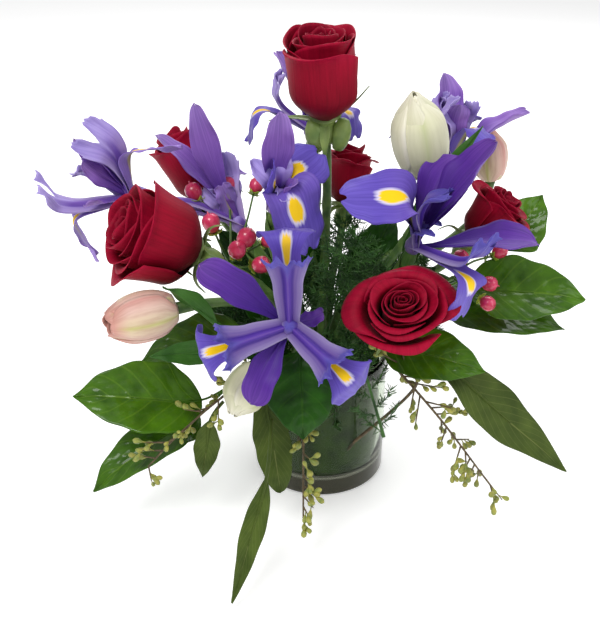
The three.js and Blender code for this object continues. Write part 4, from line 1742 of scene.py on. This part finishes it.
@dataclass
class Hypericum:
    """A sprig of hypericum: glossy berries, each in five small sepals, on a forked stem.

    Attributes:
        name: The sprig's node in the frame.
        crown: Where its stem forks.
        berries: The middle of each berry.
        seed: Picks their sizes.
        radius: A berry's radius.
    """

    name: str
    crown: Point
    berries: tuple[Point, ...]
    seed: int
    radius: float = 6.2

    def build(self, nodes: Nodes) -> None:
        """Makes the sprig.

        Args:
            nodes: The frame's nodes by name.
        """
        rng = np.random.default_rng(self.seed)
        corners = corners_of(nodes[self.name])
        foot = corners[corners[:, 2] < FOOT_BELOW].mean(axis=0)
        heights = [40.0, 70.0, 100.0, 125.0, 145.0]
        line = [foot]
        for height in heights:
            near = corners[np.abs(corners[:, 2] - height) < 9]
            if len(near):
                line.append(near.mean(axis=0))
        line.append(np.array(self.crown))
        stem = smooth_line(np.array(line), TWIG_STEPS)
        pieces = [tube(stem, np.full(TWIG_STEPS, 1.6), 8, 0.5, 2)]
        r = self.radius
        half = [(0, 0), (0.5 * r, 0.16 * r), (0.9 * r, 0.7 * r), (r, 1.25 * r), (0.92 * r, 1.75 * r)]
        half += [(0.6 * r, 2.1 * r), (0.12 * r, 2.24 * r), (0.05 * r, 2.5 * r), (0, 2.52 * r)]
        ball = turned(half, 14, UPRIGHT)
        stands, cups = [], []
        for place in self.berries:
            centre = np.array(place)
            aim = unit(centre - np.array(self.crown) + rng.normal(size=3) * 3)
            base = centre - aim * 1.1 * r
            scale = rng.uniform(0.85, 1.1)
            stands.append((Stand.facing(base, aim), scale, rng.uniform(0.35, 0.7)))
            knee = (np.array(self.crown) + base) / 2 + rng.normal(size=3) * 2
            twig = smooth_line(np.array([self.crown, knee, base]), 8)
            pieces.append(tube(twig, np.full(8, 0.8), 6, 0.5, 2))
            for k in range(5):
                cups.append((base, aim, k, scale))
        pieces.append(repeated(ball, stands))
        for base, aim, k, scale in cups:
            stand = Stand.facing(base, aim)
            azimuth = 72.0 * k + 20

            def surface(
                u: Array, v: Array, stand: Stand = stand, azimuth: float = azimuth, scale: float = scale
            ) -> Array:
                """Points on the sepal, from u across it and v along it."""
                half = 2.0 * np.sin(math.pi * np.clip(0.15 + 0.85 * v, 0, 1)) * scale
                points = laid((azimuth, 7.0 * scale, -5, -50), v, u * half, 0 * u)
                return stand.place(points - np.array([0, 0, HUB_HEIGHT / 2 + 0.4]))

            pieces.append(thickened(sheet(4, 6, surface, 0.6, 1), SMALL_SEPAL))
        skins = [skin.material() for skin in (Finish.BERRY, Finish.BUD, Finish.STEM)]
        piece = joined(f"{self.name}_berries", pieces, skins)
        dress(piece, "berries", self.name)


@dataclass
class Fern:
    """A spray of asparagus fern: a wiry stem with flat tiers of side branches, each set with fine needles.

    Attributes:
        name: The spray's node in the frame, or its own name where a route is given.
        half: Half its greatest width.
        seed: Picks its needles.
        tiers: How many pairs of side branches it has.
        route: The line of a spray that has no node of its own, in mm.
    """

    name: str
    half: float
    seed: int
    tiers: int = 16
    route: tuple[Point, ...] = ()

    def line(self, nodes: Nodes) -> tuple[Array, Array, Array, float]:
        """The spray's middle, side, face and the share of its length where its branches start.

        Args:
            nodes: The frame's nodes by name.

        Returns:
            The four of them.
        """
        if not self.route:
            line = BladeLine.read(nodes[self.name])
            return *line.frame_at(np.linspace(0, 1, SPRAY_STEPS)), line.blade_start()
        middle = smooth_line(np.array(self.route), SPRAY_STEPS)
        tangent = np.gradient(middle, axis=0)
        side = units(np.cross(tangent, np.array([0.2, -0.9, 0.5])))
        return middle, side, units(np.cross(side, tangent)), FREE_SPRAY_START

    def build(self, nodes: Nodes) -> None:
        """Makes the spray.

        Args:
            nodes: The frame's nodes by name.
        """
        rng = np.random.default_rng(self.seed)
        middle, side, face, start = self.line(nodes)
        pieces = [tube(middle, np.linspace(1.2, 0.35, SPRAY_STEPS), 6, 0.5)]
        stands: list[tuple[Stand, float, float]] = []
        last = SPRAY_STEPS - 1
        first = int(start * last)
        for i in range(self.tiers * 2):
            at = int(np.interp(i, [0, self.tiers * 2 - 1], [first + 2, last - 2]))
            way = 1 if i % 2 else -1
            tangent = unit(middle[min(at + 1, last)] - middle[at - 1])
            t = (at - first) / (last - first)
            reach = self.half * math.sin(math.pi * min(1, 0.25 + 0.75 * t)) ** 0.7 * rng.uniform(0.7, 1.1)
            out = side[at] * way * 0.9 + tangent * 0.5 + face[at] * rng.normal(0, 0.35)
            end = middle[at] + out * reach + tangent * reach * 0.25
            branch = smooth_line(np.array([middle[at], middle[at] + out * reach * 0.5, end]), 12)
            pieces.append(tube(branch, np.linspace(0.4, 0.2, 12), 4, 0.5))
            for k in range(1, 12):
                ahead = unit(branch[k] - branch[k - 1])
                for _ in range(4):
                    stand = Stand.facing(branch[k], ahead + rng.normal(size=3) * 0.75)
                    stands.append((stand, rng.uniform(0.7, 1.5), rng.uniform(0.2, 0.8)))
        needle = turned([(0, 0), (0.28, 0.4), (0.25, 3.5), (0, 5)], 3, UPRIGHT)
        pieces.append(repeated(needle, stands))
        piece = joined(f"{self.name}_needles", pieces, [Finish.FERN.material()])
        dress(piece, "fern", *(() if self.route else (self.name,)))


# ---- The vase -----------------------------------------------------------------------------------
@dataclass
class Vase:
    """A clear glass cylinder with a thick foot, lined with a broad leaf and filled with water.

    Attributes:
        radius: Outside.
        height: From the table to the rim.
        wall: The glass's thickness.
        floor: The thickness of its foot.
        water: The water's level.
        liner_top: The liner leaf's upper edge.
        sides: How many sides it has.
        heel: The rounding under its foot.
        lip: The rounding of its rim.
        bowl: The rounding inside, between the floor and the wall.
        half_wrap: Degrees that the liner leaf reaches round from its middle.
    """

    radius: float = 50.0
    height: float = VASE_HEIGHT
    wall: float = 4.0
    floor: float = 14.0
    water: float = 80.0
    liner_top: float = 90.5
    sides: int = 128
    heel: float = 3.0
    lip: float = 2.0
    bowl: float = 5.0
    half_wrap: float = 184.0

    def spun(self, name: str, outline: Sequence[tuple[float, float]]) -> Piece:
        """Turns an outline of [radius, height] pairs, from the axis to the axis, into a closed clear shape.

        Args:
            name: The shape's name.
            outline: The pairs, in mm.

        Returns:
            The shape.
        """
        bpy.ops.mesh.primitive_plane_add(size=1)
        piece = bpy.context.active_object
        piece.name = name
        mesh = piece.data
        mesh.clear_geometry()
        mesh.from_pydata(
            [(r * MM, 0, z * MM) for r, z in outline], [(i, i + 1) for i in range(len(outline) - 1)], []
        )
        bpy.ops.object.mode_set(mode="EDIT")
        bpy.ops.mesh.select_all(action="SELECT")
        bpy.ops.mesh.spin(steps=self.sides, angle=2 * math.pi, center=(0, 0, 0), axis=(0, 0, 1))
        bpy.ops.mesh.select_all(action="SELECT")
        bpy.ops.mesh.remove_doubles(threshold=1e-6)
        bpy.ops.mesh.normals_make_consistent(inside=False)
        bpy.ops.object.mode_set(mode="OBJECT")
        return piece

    def build(self) -> None:
        """Makes the glass, the liner leaf and the water."""
        r, h, f = self.radius, self.height, self.floor
        heel, lip, bowl = self.heel, self.lip, self.bowl
        inner = r - self.wall
        arc = [(math.cos(a), math.sin(a)) for a in np.linspace(0, math.pi / 2, 6)]
        outline = [(0, 0), (r - heel, 0)]
        outline += [(r - heel + heel * s, heel - heel * c) for c, s in arc[1:]]
        outline += [(r, h * k) for k in (0.2, 0.4, 0.6, 0.8)]
        outline += [(r - lip + lip * c, h - lip + lip * s) for c, s in arc]
        outline += [(inner + lip - lip * s, h - lip + lip * c) for c, s in arc[1:]]
        outline += [(inner, h * k) for k in (0.8, 0.6, 0.4)]
        outline += [(inner - bowl + bowl * c, f + bowl - bowl * s) for c, s in arc]
        outline += [(0, f)]
        glass = joined("glass_cylinder", [self.spun("glass_cylinder", outline)], [Finish.GLASS.material()])
        only(glass)
        bpy.ops.object.shade_smooth_by_angle(angle=math.radians(40))
        dress(glass, "glass", "vase")
        self.liner(inner)
        level = self.water
        body = [(0, f + 1.4), (inner - 7, f + 1.4), (inner - 2.8, f + 5.5), (inner - 2.8, level + 1.2)]
        body += [(inner - 3.9, level + 0.3), (inner - 5.5, level), (0, level)]
        water = joined("water_body", [self.spun("water_body", body)], [Finish.WATER.material()])
        dress(water, "water", "water")

    def liner(self, inner: float) -> None:
        """The broad leaf rolled inside the glass, with its edges overlapping at the back.

        Args:
            inner: The glass's inside radius.
        """

        def surface(u: Array, v: Array) -> Array:
            """Points on the rolled leaf, from u across it and v along it."""
            angle = math.pi / 2 + math.pi + u * math.radians(self.half_wrap)
            radius = inner - 0.9 - 0.25 * (u + 1) + 0.25 * np.sin(11 * angle) * ease(v, 0.3, 1)
            top = self.liner_top + 1.2 * np.sin(3 * angle + 1.0) - 1.0 * np.sin(7 * angle)
            low = self.floor + 3.0
            return stack(radius * np.cos(angle), radius * np.sin(angle), low + (top - low) * v)

        def folded(u: Array, v: Array) -> Array:
            """Points on the leaf's folded end, from u across it and v along it."""
            angle, radius = math.pi * u, (inner - 1.2) * (1 - v)
            rise = np.where(radius > inner - 7, (radius - inner + 7) ** 2 / 11, 0)
            return stack(radius * np.cos(angle), radius * np.sin(angle), self.floor + 0.35 + rise + 0.3 * v)

        sides = [sheet(140, 16, surface), sheet(96, 14, folded, 0.4)]
        piece = joined("rolled_leaf", sides, [Finish.LINER.material()])
        thickened(piece, LINER_LEAF)
        dress(piece, "liner_leaf", "liner_leaf")


# ---- The studio ---------------------------------------------------------------------------------
LAMP_AIM = 0.18
FLOOR_DROP = 0.0002


@dataclass
class Studio:
    """A pale floor, soft lights and the camera.

    Attributes:
        pitch: How far the camera looks down, in degrees.
        place: Where the camera stands, in mm.
        lens: Its focal length.
        sensor: Its sensor's width.
        floor: The floor's size, in m.
        glow: How brightly the floor shines by itself.
        sky: How bright the world's light is.
        lamps: Each lamp's name, place and size in m, and power.
    """

    pitch: float = 29.0
    place: Point = (-16.3, -671.1, 509.5)
    lens: float = 59.86
    sensor: float = 36.0
    floor: float = 6.0
    glow: float = 0.38
    sky: float = 0.45
    lamps: tuple[tuple[str, Point, float, float], ...] = (
        ("key_light", (-0.6, -0.8, 1.6), 0.8, 18.0),
        ("fill_light", (1.1, -0.5, 0.9), 0.9, 5.0),
        ("back_light", (0.2, 0.95, 0.95), 0.9, 9.0),
    )

    def build(self) -> None:
        """Makes the floor, lights, world and camera."""
        bpy.ops.mesh.primitive_plane_add(size=self.floor, location=(0, 0, -FLOOR_DROP))
        floor = bpy.context.active_object
        floor.name = "studio_floor"
        material, tree = new_material("studio_floor_white")
        finish_with(tree, {
            "Base Color": colour("#f6f6f6"), "Roughness": 0.9, "Specular IOR Level": 0.1,
            "Emission Color": colour("#ffffff"), "Emission Strength": self.glow,
        })
        floor.data.materials.append(material)
        world = bpy.data.worlds.new("studio_world")
        world.use_nodes = True
        light = world.node_tree.nodes["Background"]
        light.inputs[0].default_value = (1, 1, 1, 1)
        light.inputs[1].default_value = self.sky
        bpy.context.scene.world = world
        for lamp in self.lamps:
            self.lamp(*lamp)
        data = bpy.data.cameras.new("studio_camera")
        data.lens = self.lens
        data.sensor_width = self.sensor
        data.sensor_fit = "AUTO"
        camera = bpy.data.objects.new("studio_camera", data)
        bpy.context.collection.objects.link(camera)
        camera.location = [c * MM for c in self.place]
        camera.rotation_euler = (math.radians(90 - self.pitch), 0, 0)
        bpy.context.scene.camera = camera
        bpy.context.scene.view_settings.view_transform = "Standard"

    def lamp(self, name: str, place: Point, size: float, power: float) -> None:
        """One soft square light aimed at the flowers.

        Args:
            name: Its name.
            place: Where it is, in m.
            size: Its side, in m.
            power: Its power, in W.
        """
        data = bpy.data.lights.new(name, "AREA")
        data.size = size
        data.energy = power
        lamp = bpy.data.objects.new(name, data)
        lamp.location = place
        aim = Vector((0, 0, LAMP_AIM)) - Vector(place)
        lamp.rotation_euler = aim.to_track_quat("-Z", "Y").to_euler()
        bpy.context.collection.objects.link(lamp)


# ---- The arrangement ----------------------------------------------------------------------------
IRISES = (
    Iris(
        "iris_front", ((92, 95, 34, 118), (198, 84, 22, 112), (318, 78, 24, 92)),
        ((145, 70, 12, 10), (242, 56, 10, 14), (25, 28, -40, -20)), 11, 18.5, 11.5,
        ((0.6, 0.8), (0.62, 0.82), (0.56, 0.82)), arm=0.8, sweep=-20.0
    ),
    Iris(
        "iris_far_left", ((193, 84, 33, 100), (0, 76, 50, 85, 38), (100, 60, 60, 90)),
        ((60, 62, 82, 0), (230, 42, 50, 0), (320, 50, 86, 0)), 12, 12, 8,
        ((0.46, 0.62), (0.44, 0.62), (0.48, 0.8)), SOFT, 0.9
    ),
    Iris(
        "iris_left", ((200, 86, 44, 128), (80, 56, 66, 80), (300, 36, 84, 0)),
        ((60, 93, 84, 4, -32), (165, 88, 75, 8, 8), (250, 34, 84, 0)), 13, 13, 9.5,
        ((0.6, 0.8), (0.48, 0.8), (0.48, 0.8)), SOFT, 0.88, sweep=30.0
    ),
    Iris(
        "iris_middle", ((308, 76, 78, 126), (45, 56, 66, 60), (170, 44, 84, 0)),
        ((110, 78, 76, 0), (345, 40, 74, 10), (235, 26, 70, 10)), 14, 20, 10.5,
        ((0.28, 0.54), (0.4, 0.7), (0.48, 0.8)), MIXED, 0.62
    ),
    Iris(
        "iris_right", ((194, 88, 68, 76, 32), (318, 80, 6, 96), (160, 40, 66, 40)),
        ((12, 92, 72, 0), (350, 84, 24, 6), (60, 70, 64, 10)), 15, 19, 17,
        ((0.38, 0.56), (0.52, 0.74), (0.48, 0.8)), arm=0.62, far_arm=0.85
    ),
    Iris(
        "iris_back_right", ((195, 70, 48, 95), (75, 66, 60, 90), (315, 52, 66, 90)),
        ((135, 66, 72, 0), (8, 70, 44, 15), (255, 44, 84, 0)), 16, 16, 14, look=MIXED
    ),
    Iris(
        "iris_back", ((188, 72, 30, 110), (325, 60, 40, 120), (75, 56, 60, 90)),
        ((165, 66, 66, 0), (10, 66, 62, 0), (270, 44, 84, 0)), 17, 16, 12, look=MIXED
    ),
)
ROSES = (
    Rose(
        "rose_top", 15, 0.0, 250, 21,
        ((178, 34, 12, 20), (350, 36, 40, -10), (262, 30, -60, 20), (70, 22, 0, 60), (120, 22, 10, 60)),
        full=1.1, hips=2
    ),
    Rose("rose_left", 18, 0.3, 200, 22, full=1.1),
    Rose("rose_right", 18, 0.8, 250, 23, oval=0.9, full=0.98),
    Rose("rose_bud", 12, 0.05, 200, 24),
    Rose("rose_back_right", 15, 0.4, 20, 25),
    Rose("rose_back", 15, 0.5, 100, 26),
)
TULIPS = (
    Tulip("tulip_white", Finish.TULIP_WHITE, "white_tulip_petals", 280, 31, 0.05),
    Tulip("tulip_pink", Finish.TULIP_PINK, "pink_tulip_petals", 60, 32, 1.35),
    Tulip("tulip_back", Finish.TULIP_PINK, "pink_tulip_petals", 250, 33, 0.6),
    Tulip("tulip_low", Finish.TULIP_WHITE, "white_tulip_petals", 200, 34, 0.3),
)
# Each leaf's tone paints its light and shade: leaves that catch the light are lighter, while low and shaded
# ones, such as lemon_leaf_shade, are darker.
LEAVES = (
    Leaf("lemon_leaf_left", *LEMON_LEAF, 27, seed=41, tone=0.55),
    Leaf("lemon_leaf_low_left", *LEMON_LEAF, 21, seed=42, tone=0.45),
    Leaf("lemon_leaf_shade", *LEMON_LEAF, 22, seed=43, tone=0.4),
    Leaf("lemon_leaf_right", *LEMON_LEAF, 26, seed=44, tone=0.55),
    Leaf("lemon_leaf_low_right", *LEMON_LEAF, 21, seed=45, tone=0.45),
    Leaf("lemon_leaf_high_right", *LEMON_LEAF, 20, seed=46, tone=0.6),
    Leaf("lemon_leaf_front", *DEEP_LEMON_LEAF, 26, 0.05, seed=47),
    Leaf("lemon_leaf_under_rose", *LEMON_LEAF, 20, seed=48, tone=0.5),
    Leaf("lemon_leaf_back", *LEMON_LEAF, 23, seed=49, tone=0.5),
    Leaf("eucalyptus_leaf_right", *GUM_LEAF, 19, 0.05, seed=51),
    Leaf("eucalyptus_leaf_front", Finish.EUCALYPTUS, "eucalyptus", LeafShape.STRAP, 13, 0.06, seed=52),
    Leaf("eucalyptus_leaf_trailing", *GUM_LEAF, 8, 0.08, seed=53, tone=0.6),
    Leaf("eucalyptus_leaf_left", *GUM_LEAF, 9, 0.08, seed=54),
    Leaf("tulip_leaf_white", *TULIP_LEAF, 8, 0.3, seed=55, stalk=1.6),
    Leaf("tulip_leaf_pink_upper", *TULIP_LEAF, 7, 0.3, seed=56, stalk=1.6),
    Leaf("tulip_leaf_pink_lower", *TULIP_LEAF, 8, 0.25, seed=57, stalk=1.6),
)
FILLERS = (
    filler(1, 21, (-10, 8, 104), (-40, 32, 128), (-88, 62, 140)),
    filler(2, 19, (-12, 2, 104), (-46, 4, 122), (-100, 2, 126)),
    filler(3, 21, (6, 14, 104), (30, 52, 128), (54, 98, 132)),
    filler(4, 20, (12, 8, 104), (56, 30, 126), (114, 56, 132)),
    filler(5, 18, (-2, 14, 104), (-12, 30, 150), (-26, 40, 200), facing=(0.0, -1.0, 0.4)),
    filler(6, 19, (-12, 10, 104), (-44, 22, 150), (-78, 36, 186), facing=(0.2, -1.0, 0.5)),
    filler(7, 19, (10, 14, 104), (34, 36, 150), (56, 50, 194), facing=(-0.2, -1.0, 0.4)),
    filler(8, 16, (-6, -14, 104), (-38, -46, 130), (-70, -66, 146)),
    filler(9, 18, (14, 2, 104), (46, 4, 140), (84, 8, 168), facing=(-0.2, -0.9, 0.5)),
    filler(10, 17, (-12, -4, 104), (-36, -8, 140), (-60, -6, 176), facing=(0.2, -1.0, 0.4)),
)
SPRIGS = (
    SeededSprig("eucalyptus_sprig_right", ((48, -58, 126), (83, -72, 88), (122, -82, 36)), 22, 61, 19),
    SeededSprig("eucalyptus_sprig_left", ((-62, -66, 110), (-98, -90, 90), (-122, -98, 66)), 16, 62, 16),
    SeededSprig("eucalyptus_sprig_front", ((-14, -60, 116), (-14, -88, 80), (-14, -112, 32)), 16, 63, 9),
)
BERRIES = (
    Hypericum(
        "hypericum_left", (-66, -18, 184),
        ((-92, 10, 227), (-68, 20, 228), (-48, 28, 225), (-78, -16, 214), (-80, -30, 190),
         (-60, -30, 200), (-54, -24, 206), (-44, -28, 188), (-38, -8, 198)), 71
    ),
    Hypericum(
        "hypericum_right", (94, -16, 172),
        ((129, 0, 185), (97, -20, 189), (118, -28, 173), (114, 6, 188), (114, -48, 168)), 72
    ),
)
FERNS = (
    Fern("fern_middle", 26, 81, 20),
    Fern("fern_low_right", 20, 82, 14),
    Fern("fern_filler_1", 20, 83, 14, ((-8, 6, 104), (-14, 0, 140), (-22, -10, 182))),
    Fern("fern_filler_2", 20, 84, 14, ((10, 6, 104), (24, 0, 140), (40, -8, 176))),
    Fern("fern_filler_3", 22, 85, 14, ((4, 12, 104), (12, 22, 150), (18, 26, 200))),
    Fern("fern_filler_4", 20, 86, 14, ((-14, 10, 104), (-34, 16, 140), (-56, 22, 178))),
    Fern("fern_filler_5", 20, 87, 14, ((16, 12, 104), (44, 22, 134), (76, 30, 166))),
    Fern("fern_filler_6", 20, 88, 12, ((6, -12, 104), (20, -40, 130), (34, -62, 134))),
    Fern("fern_filler_7", 20, 89, 12, ((-10, -12, 104), (-30, -34, 132), (-44, -56, 150))),
    Fern("fern_filler_8", 20, 90, 12, ((0, 16, 104), (-10, 50, 140), (-18, 78, 170))),
    Fern("fern_filler_9", 18, 91, 12, ((-14, -4, 104), (-50, -6, 124), (-84, -14, 134))),
    Fern("fern_filler_10", 18, 92, 12, ((14, 0, 104), (50, -4, 120), (86, -10, 128))),
    Fern("fern_filler_11", 20, 93, 12, ((8, 14, 104), (36, 48, 134), (62, 76, 152))),
)


def main() -> None:
    """Builds the arrangement round the frame."""
    logging.basicConfig(level=logging.INFO, format="%(name)s: %(message)s")
    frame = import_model()
    nodes = frame["nodes"]
    Studio().build()
    Vase().build()
    for group in (IRISES, ROSES, TULIPS, LEAVES, FILLERS, SPRIGS, BERRIES, FERNS):
        for piece in group:
            piece.build(nodes)


if __name__ == "__main__":
    main()
